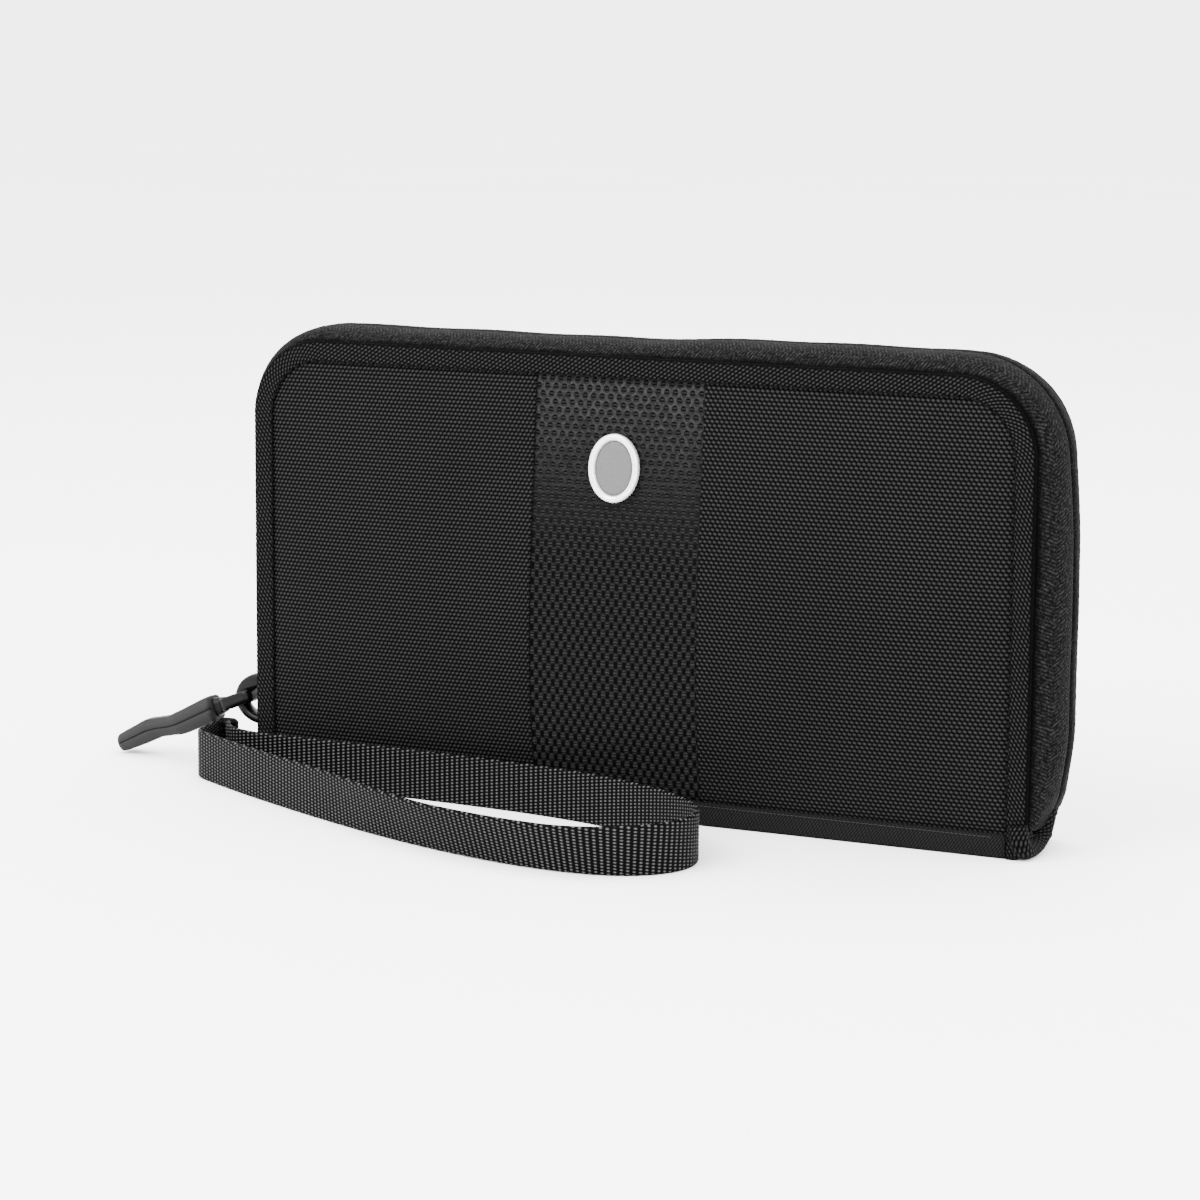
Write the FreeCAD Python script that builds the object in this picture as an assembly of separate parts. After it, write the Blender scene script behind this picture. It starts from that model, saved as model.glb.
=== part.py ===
import FreeCAD, Part

"""Zip-around travel wallet with a wrist strap, standing on its spine. Millimetres, +Z up.

+X runs along the long side, -Y is the outside of the front cover, and the origin is the middle of
the spine's underside. The front cover, the spine and the strap are one body. The back cover hinges
at the spine's back edge. Soft layers are plain flat solids that lie face to face.
"""
import math
import os

from FreeCAD import Vector

# Covers
LENGTH = 210.0
HEIGHT = 115.0
HALF_DEPTH = 13.0
CORNER_R = 19.0
BINDING_W = 4.5
BINDING_T = 0.9
SKIN_Y = 12.7
BAND_Y = 12.45
FOAM_Y = 12.1
STIFF_Y = 9.1
LINING_Y = 8.3
INNER_Y = 7.8
BINDING_IN_Y = 7.5
BAND_LEFT = -25.5
BAND_RIGHT = 21.5
CROWN = 3.8
BACK_CROWN = 3.2
CROWN_COLUMNS = 13
CROWN_ROWS = 9
CLEARANCE = 0.3

# Spine
SPINE_HALF_X = 100.2
SPINE_T = 0.8
SPINE_LIP_H = 5.8
SPINE_BACK_Y = 12.4
ZIP_END_BACK_Y = 5.8
ZIP_END_IN = 1.0
ZIP_END_LEAN = 2.5
COVER_FOOT_Z = 1.6
BACK_FOOT_Z = 2.3

# Zip around the covers
ZIP_BULGE = 3.5
TAPE_T = 0.9
COIL_T = 1.6
COIL_W = 1.75
ZIP_GAP = 0.55
ZIP_FOOT_Z = 10.0
COIL_FOOT_Z = 11.4
ZIP_STOP_H = 1.1
BOW_Y = 4.6
# Where the tape's outer and inner faces turn towards the cover: (in from the bow, past BOW_Y)
TAPE_OUTER_KNEE = (1.3, 1.9)
TAPE_INNER_KNEE = (2.2, 1.4)

# Slider, link and puller
SLIDER_FOOT_Z = 11.5
SLIDER_LONG = 14.0
SLIDER_PLATE_T = 1.3
SLIDER_INNER_T = 1.2
SLIDER_INNER_SHARE = 0.88
SLIDER_OUTLINE = [(2.6, 0), (3.6, 2.0), (4.5, 9.0), (3.4, 14.0)]
SLIDER_POST_Z = (8.0, 12.5)
SLIDER_POST_HALF = 0.25
BRIDGE_R = 6.9
BRIDGE_T = 1.5
BRIDGE_HALF_W = 2.2
PIVOT_OUT = 3.5
PIVOT_R = 1.0
LINK_ARM_T = 1.2
LINK_ARM_GAP = 0.4
LINK_REACH = 9.0
LINK_BAR_HALF = 0.9
LINK_STEM_HALF = 1.6
# Grip seen from the side: (distance from the pivot, half thickness)
GRIP_PROFILE = [(12.2, 2.3), (14.2, 2.9), (19.0, 2.8), (25.0, 2.2), (31.0, 2.6), (36.5, 3.0),
                (41.5, 2.4), (44.0, 1.2)]
GRIP_HALF_W = 4.2
PULL_DROP = 21.5

# Badge
BADGE_X = -2.5
BADGE_Z = 88.0
BADGE_W = 13.5
BADGE_H = 17.0
BADGE_RIM = 1.7
BADGE_RIM_PROUD = 1.4
BADGE_FIELD_PROUD = 0.8
BADGE_SEAT = 0.15

# Pockets
POCKET_HALF_X = 96.0
POCKET_PLATE = 0.5
POCKET_SEAM = 1.0
POCKET_GAP = 1.2
POCKET_MIDDLE = 2.0
TICKET_TOP_Z = 82.0
PASSPORT_TOP_Z = 70.0
DOCUMENT_TOP_Z = 62.0
BACK_POCKET_FOOT_Z = 5.0
CARD_GAP = 0.25
CARD_COUNT = 4
CARD_TOP_Z = 92.0
CARD_STEP_Z = 11.0
COLUMN_NEAR = 4.0
COLUMN_FAR = 94.0
WINDOW_TOP_Z = 62.0
WINDOW_RIM = 8.0
COIN_FOOT_Z = 66.0
COIN_TOP_Z = 104.0

# Coin pocket zip
COIN_ZIP_Z = 95.0
COIN_ZIP_X0 = 10.0
COIN_ZIP_X1 = 88.0
COIN_PLATE_Y = 5.4
COIN_TAPE_HALF = 3.0
COIN_COIL_HALF = 0.8
COIN_COIL_T = 0.9
COIN_SLIDER_X = 17.0
COIN_CAP = (3.5, 0.8, 2.2)
COIN_CHEEK_X = 1.6
COIN_CHEEK = (0.4, 0.6, 1.2)
COIN_AXLE_OUT = 1.8
COIN_AXLE_R = 0.35
COIN_BORE_R = 0.45
COIN_EYE_R = 0.75
COIN_EYE_HALF = 0.9
COIN_STEM_LONG = 4.0
COIN_STEM_HALF_T = 0.4
COIN_BLADE_HALF = 1.8
COIN_BLADE_HALF_T = 0.5
COIN_BLADE_LONG = 11.0
COIN_BLADE_START = 3.5

# Wrist strap: flat webbing standing on edge, its centre line seen from above
STRAP_W = 12.7
STRAP_T = 1.4
STRAP_ROUTE = [
    (-122.4, -5.0), (-121.8, -18.6), (-97.0, -32.8), (-68.0, -47.8), (-38.0, -61.2),
    (-9.0, -70.2), (14.0, -72.6), (29.5, -67.6), (36.0, -56.5), (33.0, -44.0),
    (20.5, -32.4), (2.0, -24.4), (-20.0, -19.6), (-48.0, -17.5), (-78.0, -16.5),
    (-103.0, -16.4), (-115.0, -12.2), (-118.8, -5.0),
]
# Share of the shorter run beside each corner that its arc takes up
ROUTE_ROUNDING = 0.45
CONNECTOR = ((-123.6, -5.0, 1.0), (-117.5, 0.0, 12.4))
TAB_HALF_W = 4.5
TAB_Z = (3.0, 4.6)

HALF_X = LENGTH / 2
TAPE_OUT_X = HALF_X + ZIP_BULGE
COIL_IN_R = ZIP_BULGE - TAPE_T - COIL_T
SLIDER_OUT_X = TAPE_OUT_X + CLEARANCE + SLIDER_PLATE_T
SLIDER_MID_Z = SLIDER_FOOT_Z + SLIDER_LONG / 2
PIVOT = Vector(-(SLIDER_OUT_X + PIVOT_OUT), 0, SLIDER_MID_Z)

nodes = {}


def block(low, high):
    """A box between two opposite corners."""
    size = [high[i] - low[i] for i in range(3)]
    return Part.makeBox(size[0], size[1], size[2], Vector(*low))


def prism(corners, along):
    """A closed polygon of 3-D corners, extruded along a vector."""
    wire = Part.makePolygon([Vector(*c) for c in corners] + [Vector(*corners[0])])
    return Part.Face(wire).extrude(Vector(*along))


def mirror_y(shape):
    """The same piece on the other side of the zip's middle plane."""
    return shape.mirror(Vector(0, 0, 0), Vector(0, 1, 0))


def cover_plate(inset, y_out, y_in, foot_z):
    """A plate of the cover's outline with round top corners, between two depths."""
    x = HALF_X - inset
    top = HEIGHT - inset
    r = CORNER_R - inset
    k = r * (1 - math.sqrt(0.5))
    edges = [
        Part.LineSegment(Vector(-x, y_out, foot_z), Vector(-x, y_out, top - r)).toShape(),
        Part.Arc(Vector(-x, y_out, top - r), Vector(-x + k, y_out, top - k),
                 Vector(-x + r, y_out, top)).toShape(),
        Part.LineSegment(Vector(-x + r, y_out, top), Vector(x - r, y_out, top)).toShape(),
        Part.Arc(Vector(x - r, y_out, top), Vector(x - k, y_out, top - k),
                 Vector(x, y_out, top - r)).toShape(),
        Part.LineSegment(Vector(x, y_out, top - r), Vector(x, y_out, foot_z)).toShape(),
        Part.LineSegment(Vector(x, y_out, foot_z), Vector(-x, y_out, foot_z)).toShape(),
    ]
    return Part.Face(Part.Wire(edges)).extrude(Vector(0, y_in - y_out, 0))


def crown(x, z, height):
    """How far a stuffed cover stands out at a point of its face: most a little below the middle."""
    u = x / (HALF_X - BINDING_W)
    t = (z - SPINE_LIP_H) / (HEIGHT - BINDING_W - SPINE_LIP_H)
    peak = 1.056
    return height * (1 - u ** 4) * 4 * t * (1 - t) * (1.5 - t) / peak


def crowned_layer(side, height, y_out, depth):
    """A layer under the crowned outside face; side is -1 for the front and 1 for the back."""
    x0 = HALF_X - BINDING_W
    z1 = HEIGHT - BINDING_W
    grid = []
    for i in range(CROWN_COLUMNS):
        x = x0 * (2 * i / (CROWN_COLUMNS - 1) - 1)
        column = []
        for j in range(CROWN_ROWS):
            z = SPINE_LIP_H + (z1 - SPINE_LIP_H) * j / (CROWN_ROWS - 1)
            column.append(Vector(x, side * (y_out + crown(x, z, height)), z))
        grid.append(column)
    surface = Part.BSplineSurface()
    surface.interpolate(grid)
    layer = surface.toShape().extrude(Vector(0, -side * depth, 0))
    outline = cover_plate(BINDING_W, side * (y_out + height + 1), side * (y_out - depth - 1),
                          SPINE_LIP_H)
    return layer.common(outline)


def crowned_foam(side, height, foot_z):
    """Foam: flat behind the binding, and filling the crown inside it."""
    flat = cover_plate(BINDING_T, side * FOAM_Y, side * STIFF_Y, foot_z)
    fill = crowned_layer(side, height, FOAM_Y, height + 1)
    seat = 0.1
    near = min(side * (FOAM_Y - seat), side * (FOAM_Y + height + 1))
    far = max(side * (FOAM_Y - seat), side * (FOAM_Y + height + 1))
    window = block((-HALF_X, near, 0), (HALF_X, far, HEIGHT))
    return flat.fuse(fill.common(window)).removeSplitter()


def edge_band(section, foot_z):
    """A band round the left, top and right edges; section points are (outward, y)."""
    knee = HEIGHT - CORNER_R
    turn = Vector(0, 1, 0)
    left = [(-(HALF_X + r), y, knee) for r, y in section]
    top = [(CORNER_R - HALF_X, y, HEIGHT + r) for r, y in section]
    far = [(HALF_X - CORNER_R, y, HEIGHT + r) for r, y in section]
    right = [(HALF_X + r, y, knee) for r, y in section]
    left_face = Part.Face(Part.makePolygon([Vector(*p) for p in left + left[:1]]))
    far_face = Part.Face(Part.makePolygon([Vector(*p) for p in far + far[:1]]))
    band = prism(left, (0, 0, foot_z - knee))
    pieces = [
        left_face.revolve(Vector(CORNER_R - HALF_X, 0, knee), turn, 90),
        prism(top, (LENGTH - 2 * CORNER_R, 0, 0)),
        far_face.revolve(Vector(HALF_X - CORNER_R, 0, knee), turn, 90),
        prism(right, (0, 0, foot_z - knee)),
    ]
    return band.fuse(pieces).removeSplitter()


def pocket(x0, x1, z0, z1, base, depth, plate):
    """A flat pocket sewn to the face at y = base, open at its top; depth is its inside gap."""
    out = -1 if base > 0 else 1
    face = base + out * (depth + plate)
    outer = block((x0, min(base, face), z0), (x1, max(base, face), z1))
    inner_face = base + out * depth
    hollow = block((x0 + POCKET_SEAM, min(base, inner_face), z0 + POCKET_SEAM),
                   (x1 - POCKET_SEAM, max(base, inner_face), z1 + POCKET_SEAM))
    return outer.cut(hollow)


def build_front_cover():
    """Front cover: three outside panels over foam, stiffener and lining."""
    skin = crowned_layer(-1, CROWN, SKIN_Y, SKIN_Y - FOAM_Y)
    band = crowned_layer(-1, CROWN, BAND_Y, BAND_Y - FOAM_Y)
    deep = 2 * HALF_DEPTH
    nodes["front_left_panel"] = skin.common(block((-HALF_X, -deep, 0), (BAND_LEFT, 0, HEIGHT)))
    nodes["front_right_panel"] = skin.common(block((BAND_RIGHT, -deep, 0), (HALF_X, 0, HEIGHT)))
    nodes["front_centre_band"] = band.common(block((BAND_LEFT, -deep, 0), (BAND_RIGHT, 0, HEIGHT)))
    nodes["front_foam"] = crowned_foam(-1, CROWN, COVER_FOOT_Z)
    nodes["front_stiffener"] = cover_plate(BINDING_T, -STIFF_Y, -LINING_Y, COVER_FOOT_Z)
    nodes["front_lining"] = cover_plate(BINDING_W, -LINING_Y, -INNER_Y, COVER_FOOT_Z)


def build_back_cover():
    """Back cover: one outside panel over foam, stiffener and lining."""
    nodes["back_panel"] = crowned_layer(1, BACK_CROWN, SKIN_Y, SKIN_Y - FOAM_Y)
    nodes["back_foam"] = crowned_foam(1, BACK_CROWN, BACK_FOOT_Z)
    nodes["back_stiffener"] = cover_plate(BINDING_T, STIFF_Y, LINING_Y, BACK_FOOT_Z)
    nodes["back_lining"] = cover_plate(BINDING_W, LINING_Y, INNER_Y, BACK_FOOT_Z)
    nodes["back_spine_edge"] = block((-SPINE_HALF_X, FOAM_Y, BACK_FOOT_Z),
                                     (SPINE_HALF_X, HALF_DEPTH, SPINE_LIP_H))


def build_binding():
    """Folded binding tape round the edge of each cover."""
    section = [
        (0, -HALF_DEPTH), (-BINDING_W, -HALF_DEPTH), (-BINDING_W, -FOAM_Y),
        (-BINDING_T, -FOAM_Y), (-BINDING_T, -LINING_Y), (-BINDING_W, -LINING_Y),
        (-BINDING_W, -BINDING_IN_Y), (0, -BINDING_IN_Y),
    ]
    nodes["front_binding"] = edge_band(section, 0)
    nodes["back_binding"] = mirror_y(nodes["front_binding"])


def build_zip():
    """Zip tape that bows outwards, and the coil along its edge, for each cover."""
    outer_in, outer_past = TAPE_OUTER_KNEE
    inner_in, inner_past = TAPE_INNER_KNEE
    tape = [
        (0, -BINDING_IN_Y), (ZIP_BULGE - outer_in, -BOW_Y - outer_past), (ZIP_BULGE, -BOW_Y),
        (ZIP_BULGE, -ZIP_GAP), (ZIP_BULGE - TAPE_T, -ZIP_GAP), (ZIP_BULGE - TAPE_T, -BOW_Y),
        (ZIP_BULGE - inner_in, -BOW_Y - inner_past), (-BINDING_T, -BINDING_IN_Y),
    ]
    coil_edge = ZIP_GAP + COIL_W
    coil = [
        (COIL_IN_R, -coil_edge), (COIL_IN_R, -ZIP_GAP),
        (COIL_IN_R + COIL_T, -ZIP_GAP), (COIL_IN_R + COIL_T, -coil_edge),
    ]
    nodes["front_zip_tape"] = edge_band(tape, ZIP_FOOT_Z)
    nodes["front_zip_coil"] = edge_band(coil, COIL_FOOT_Z)
    nodes["back_zip_tape"] = mirror_y(nodes["front_zip_tape"])
    nodes["back_zip_coil"] = mirror_y(nodes["front_zip_coil"])
    for side, sign in (("left", -1), ("right", 1)):
        inner = sign * (HALF_X + COIL_IN_R)
        outer = sign * (HALF_X + ZIP_BULGE - TAPE_T)
        stop = block((min(inner, outer), -coil_edge, COIL_FOOT_Z - ZIP_STOP_H),
                     (max(inner, outer), -ZIP_GAP, COIL_FOOT_Z))
        nodes["zip_stop_front_" + side] = stop
        nodes["zip_stop_back_" + side] = mirror_y(stop)


def build_spine():
    """Spine: fabric with a front lip, a stiffener, a lining, and the folded zip ends."""
    base = block((-SPINE_HALF_X, -FOAM_Y, 0), (SPINE_HALF_X, SPINE_BACK_Y, SPINE_T))
    lip = block((-SPINE_HALF_X, -HALF_DEPTH, 0), (SPINE_HALF_X, -FOAM_Y, SPINE_LIP_H))
    nodes["spine_panel"] = base.fuse(lip).removeSplitter()
    nodes["spine_stiffener"] = block((-SPINE_HALF_X, -FOAM_Y, SPINE_T),
                                     (SPINE_HALF_X, FOAM_Y - 1, COVER_FOOT_Z))
    nodes["spine_lining"] = block((-SPINE_HALF_X, -INNER_Y, COVER_FOOT_Z),
                                  (SPINE_HALF_X, INNER_Y - 0.5, BACK_FOOT_Z - CLEARANCE))
    end_y = BINDING_IN_Y - CLEARANCE
    top_z = ZIP_FOOT_Z - CLEARANCE
    for side, sign in (("left", -1), ("right", 1)):
        profile = [
            (sign * SPINE_HALF_X, -end_y, 0), (sign * (HALF_X - ZIP_END_IN), -end_y, 0),
            (sign * (HALF_X - ZIP_END_IN + ZIP_END_LEAN), -end_y, top_z),
            (sign * SPINE_HALF_X, -end_y, top_z),
        ]
        nodes["zip_end_" + side] = prism(profile, (0, end_y + ZIP_END_BACK_Y, 0))


def build_badge():
    """Plain oval plaque, a raised rim and a flat field, seated flush in the crowned band."""
    def oval(width, height, proud):
        ellipse = Part.Ellipse(Vector(0, 0, 0), height / 2, width / 2)
        plate = Part.Face(Part.Wire([ellipse.toShape()])).extrude(Vector(0, 0, proud + BADGE_SEAT))
        plate.rotate(Vector(0, 0, 0), Vector(0, 0, 1), 90)
        plate.rotate(Vector(0, 0, 0), Vector(1, 0, 0), 90 - lean)
        plate.translate(Vector(BADGE_X, seat_y + BADGE_SEAT, BADGE_Z))
        return plate

    step = 1.0
    rise = crown(BADGE_X, BADGE_Z + step, CROWN) - crown(BADGE_X, BADGE_Z - step, CROWN)
    lean = -math.degrees(math.atan2(rise, 2 * step))
    seat_y = -(BAND_Y + crown(BADGE_X, BADGE_Z, CROWN))
    inner_w = BADGE_W - 2 * BADGE_RIM
    inner_h = BADGE_H - 2 * BADGE_RIM
    hole = oval(inner_w, inner_h, BADGE_RIM_PROUD)
    rim = oval(BADGE_W, BADGE_H, BADGE_RIM_PROUD).cut(hole)
    field = oval(inner_w, inner_h, BADGE_FIELD_PROUD)
    nodes["badge_rim"] = rim
    nodes["badge_field"] = field
    nodes["front_centre_band"] = nodes["front_centre_band"].cut([rim, field])


def build_slider():
    """Slider: outer and inner plates joined by a narrow post, and the arched bridge."""
    foot = SLIDER_FOOT_Z
    outline = SLIDER_OUTLINE + [(-y, z) for y, z in reversed(SLIDER_OUTLINE)]
    outer = prism([(-SLIDER_OUT_X, y, foot + z) for y, z in outline], (SLIDER_PLATE_T, 0, 0))
    inner_x = HALF_X + COIL_IN_R - CLEARANCE
    inner = prism([(-inner_x, SLIDER_INNER_SHARE * y, foot + z) for y, z in outline],
                  (SLIDER_INNER_T, 0, 0))
    post = block((-SLIDER_OUT_X + SLIDER_PLATE_T, -SLIDER_POST_HALF, foot + SLIDER_POST_Z[0]),
                 (-inner_x, SLIDER_POST_HALF, foot + SLIDER_POST_Z[1]))
    nodes["slider_body"] = outer.fuse([inner, post]).removeSplitter()
    centre = Vector(-SLIDER_OUT_X, -BRIDGE_HALF_W, SLIDER_MID_Z)
    width = 2 * BRIDGE_HALF_W
    ring = Part.makeCylinder(BRIDGE_R, width, centre, Vector(0, 1, 0))
    ring = ring.cut(Part.makeCylinder(BRIDGE_R - BRIDGE_T, width, centre, Vector(0, 1, 0)))
    half_space = block((-SLIDER_OUT_X - 10, -5, 0), (-SLIDER_OUT_X, 5, 40))
    nodes["slider_bridge"] = ring.common(half_space)


def build_puller():
    """Metal link round the bridge and the moulded grip on it, hanging at the resting angle."""
    arm_in = BRIDGE_HALF_W + LINK_ARM_GAP
    arm_out = arm_in + LINK_ARM_T
    far = LINK_REACH + LINK_BAR_HALF
    near = LINK_REACH - LINK_BAR_HALF
    axle = Part.makeCylinder(PIVOT_R, 2 * arm_out, Vector(0, -arm_out, 0), Vector(0, 1, 0))
    arms = [block((-far, y, -PIVOT_R), (0, y + LINK_ARM_T, PIVOT_R)) for y in (arm_in, -arm_out)]
    end_bar = block((-far, -arm_out, -PIVOT_R), (-near, arm_out, PIVOT_R))
    stem = block((-GRIP_PROFILE[0][0], -LINK_STEM_HALF, -PIVOT_R), (-far, LINK_STEM_HALF, PIVOT_R))
    link = axle.fuse(arms + [end_bar, stem]).removeSplitter()
    profile = GRIP_PROFILE + [(d, -t) for d, t in reversed(GRIP_PROFILE)]
    grip = prism([(-d, -GRIP_HALF_W, t) for d, t in profile], (0, 2 * GRIP_HALF_W, 0))
    for name, shape in (("puller_link", link), ("puller_grip", grip)):
        shape.rotate(Vector(0, 0, 0), Vector(0, 1, 0), -PULL_DROP)
        shape.translate(PIVOT)
        nodes[name] = shape


def build_front_pockets():
    """Pockets inside the front cover."""
    seat = -INNER_Y
    nodes["ticket_pocket"] = pocket(-POCKET_HALF_X, POCKET_HALF_X, BACK_FOOT_Z, TICKET_TOP_Z,
                                    seat, POCKET_GAP, POCKET_PLATE)
    seat += POCKET_GAP + POCKET_PLATE
    nodes["passport_pocket"] = pocket(-POCKET_HALF_X, -POCKET_MIDDLE, BACK_FOOT_Z,
                                      PASSPORT_TOP_Z, seat, POCKET_GAP, POCKET_PLATE)
    nodes["document_pocket"] = pocket(POCKET_MIDDLE, POCKET_HALF_X, BACK_FOOT_Z,
                                      DOCUMENT_TOP_Z, seat, POCKET_GAP, POCKET_PLATE)


def build_back_pockets():
    """Card slots, window pocket and coin pocket inside the back cover."""
    seat = INNER_Y
    for i in range(CARD_COUNT):
        nodes["card_slot_%d" % (i + 1)] = pocket(-COLUMN_FAR, -COLUMN_NEAR, BACK_POCKET_FOOT_Z,
                                                 CARD_TOP_Z - CARD_STEP_Z * i, seat, CARD_GAP,
                                                 POCKET_PLATE)
        seat -= CARD_GAP + POCKET_PLATE
    frame = pocket(COLUMN_NEAR, COLUMN_FAR, BACK_POCKET_FOOT_Z, WINDOW_TOP_Z, INNER_Y, POCKET_GAP,
                   POCKET_PLATE)
    window_y = INNER_Y - POCKET_GAP - POCKET_PLATE
    window = block((COLUMN_NEAR + WINDOW_RIM, window_y, BACK_POCKET_FOOT_Z + WINDOW_RIM),
                   (COLUMN_FAR - WINDOW_RIM, window_y + POCKET_PLATE, WINDOW_TOP_Z - WINDOW_RIM))
    nodes["window_frame"] = frame.cut(window)
    nodes["window_sheet"] = window
    coin = block((COLUMN_NEAR, COIN_PLATE_Y, COIN_FOOT_Z), (COLUMN_FAR, INNER_Y, COIN_TOP_Z))
    hollow = block((COLUMN_NEAR + POCKET_SEAM, COIN_PLATE_Y + POCKET_PLATE, COIN_FOOT_Z + POCKET_SEAM),
                   (COLUMN_FAR - POCKET_SEAM, INNER_Y, COIN_TOP_Z - POCKET_SEAM))
    slot = block((COIN_ZIP_X0, COIN_PLATE_Y, COIN_ZIP_Z - COIN_TAPE_HALF),
                 (COIN_ZIP_X1, COIN_PLATE_Y + POCKET_PLATE, COIN_ZIP_Z + COIN_TAPE_HALF))
    nodes["coin_pocket"] = coin.cut(hollow).cut(slot)
    nodes["coin_zip_tape"] = slot
    coil_y = COIN_PLATE_Y - COIN_COIL_T
    nodes["coin_zip_coil"] = block((COIN_ZIP_X0 + 1, coil_y, COIN_ZIP_Z - COIN_COIL_HALF),
                                   (COIN_ZIP_X1 - 1, COIN_PLATE_Y, COIN_ZIP_Z + COIN_COIL_HALF))
    build_coin_slider(coil_y - CLEARANCE)


def build_coin_slider(base_y):
    """Small slider that caps the coil, and its short puller hung from an axle."""
    x = COIN_SLIDER_X
    z = COIN_ZIP_Z
    half_x, cap_t, half_z = COIN_CAP
    cap_y = base_y - cap_t
    cap = block((x - half_x, cap_y, z - half_z), (x + half_x, base_y, z + half_z))
    axle_y = base_y - COIN_AXLE_OUT
    cheek_x, cheek_y, cheek_z = COIN_CHEEK
    cheeks = [block((x + offset - cheek_x, axle_y - cheek_y, z - cheek_z),
                    (x + offset + cheek_x, cap_y, z + cheek_z))
              for offset in (-COIN_CHEEK_X, COIN_CHEEK_X)]
    axle_half = COIN_CHEEK_X - cheek_x
    axle = Part.makeCylinder(COIN_AXLE_R, 2 * axle_half, Vector(x - axle_half, axle_y, z),
                             Vector(1, 0, 0))
    nodes["coin_slider"] = cap.fuse(cheeks + [axle]).removeSplitter()
    eye_x = x - COIN_EYE_HALF
    eye = Part.makeCylinder(COIN_EYE_R, 2 * COIN_EYE_HALF, Vector(eye_x, axle_y, z), Vector(1, 0, 0))
    stem = block((eye_x, axle_y - COIN_STEM_HALF_T, z - COIN_STEM_LONG),
                 (x + COIN_EYE_HALF, axle_y + COIN_STEM_HALF_T, z))
    blade = block((x - COIN_BLADE_HALF, axle_y - COIN_BLADE_HALF_T, z - COIN_BLADE_LONG),
                  (x + COIN_BLADE_HALF, axle_y + COIN_BLADE_HALF_T, z - COIN_BLADE_START))
    bore = Part.makeCylinder(COIN_BORE_R, 4 * COIN_EYE_HALF, Vector(x - 2 * COIN_EYE_HALF, axle_y, z),
                             Vector(1, 0, 0))
    nodes["coin_puller"] = eye.fuse([stem, blade]).removeSplitter().cut(bore)


def route_segments(points):
    """Straight runs joined by tangent arcs; each piece carries its start and end normals."""
    pts = [Vector(x, y, 0) for x, y in points]
    segments = []
    start = pts[0]
    for i in range(1, len(pts) - 1):
        before = (pts[i] - pts[i - 1])
        after = (pts[i + 1] - pts[i])
        run = min(before.Length, after.Length)
        before.normalize()
        after.normalize()
        half_turn = before.getAngle(after) / 2
        cut = ROUTE_ROUNDING * run
        radius = cut / math.tan(half_turn)
        enter = pts[i] - before * cut
        leave = pts[i] + after * cut
        inward = (after - before)
        inward.normalize()
        centre = pts[i] + inward * (radius / math.cos(half_turn))
        middle = centre - inward * radius
        segments.append(("line", [start, enter], [before, before]))
        along = before + after
        along.normalize()
        segments.append(("arc", [enter, middle, leave], [before, along, after]))
        start = leave
    last = pts[-1] - start
    last.normalize()
    segments.append(("line", [start, pts[-1]], [last, last]))
    return segments


def side_edges(segments, offset):
    """The route's runs and arcs, moved sideways by an offset."""
    edges = []
    for kind, spots, directions in segments:
        moved = [p + Vector(-d.y, d.x, 0) * offset for p, d in zip(spots, directions)]
        if kind == "line":
            edges.append(Part.LineSegment(*moved).toShape())
        else:
            edges.append(Part.Arc(*moved).toShape())
    return edges


def build_strap():
    """Wrist strap of flat webbing, its sewn connector, and the tab into the zip end."""
    segments = route_segments(STRAP_ROUTE)
    left = side_edges(segments, STRAP_T / 2)
    right = side_edges(segments, -STRAP_T / 2)
    caps = [Part.LineSegment(a.Vertexes[i].Point, b.Vertexes[i].Point).toShape()
            for a, b, i in ((left[0], right[0], 0), (left[-1], right[-1], 1))]
    wire = Part.Wire(Part.sortEdges(left + right + caps)[0])
    strap = Part.Face(wire).extrude(Vector(0, 0, STRAP_W))
    nodes["wrist_strap"] = strap
    nodes["strap_connector"] = block(*CONNECTOR)
    lean = ZIP_END_LEAN / (ZIP_FOOT_Z - CLEARANCE)
    wall_x = [HALF_X - ZIP_END_IN + lean * z for z in TAB_Z]
    tab_end = CONNECTOR[1][0]
    nodes["strap_tab"] = prism(
        [(-wall_x[0], -TAB_HALF_W, TAB_Z[0]), (-wall_x[1], -TAB_HALF_W, TAB_Z[1]),
         (tab_end, -TAB_HALF_W, TAB_Z[1]), (tab_end, -TAB_HALF_W, TAB_Z[0])],
        (0, 2 * TAB_HALF_W, 0))


def main():
    os.makedirs("parts", exist_ok=True)
    build_front_cover()
    build_back_cover()
    build_binding()
    build_zip()
    build_spine()
    build_badge()
    build_slider()
    build_puller()
    build_front_pockets()
    build_back_pockets()
    build_strap()
    for name, shape in nodes.items():
        solids = len(shape.Solids)
        if solids != 1 or not shape.isValid():
            print("CHECK", name, "solids", solids, "valid", shape.isValid())
        shape.exportStep("parts/%s.step" % name)
    print(len(nodes), "nodes")


main()
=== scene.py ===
import math
from bisect import bisect_left

import bmesh
import bpy
from mathutils import Matrix, Vector


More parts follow.
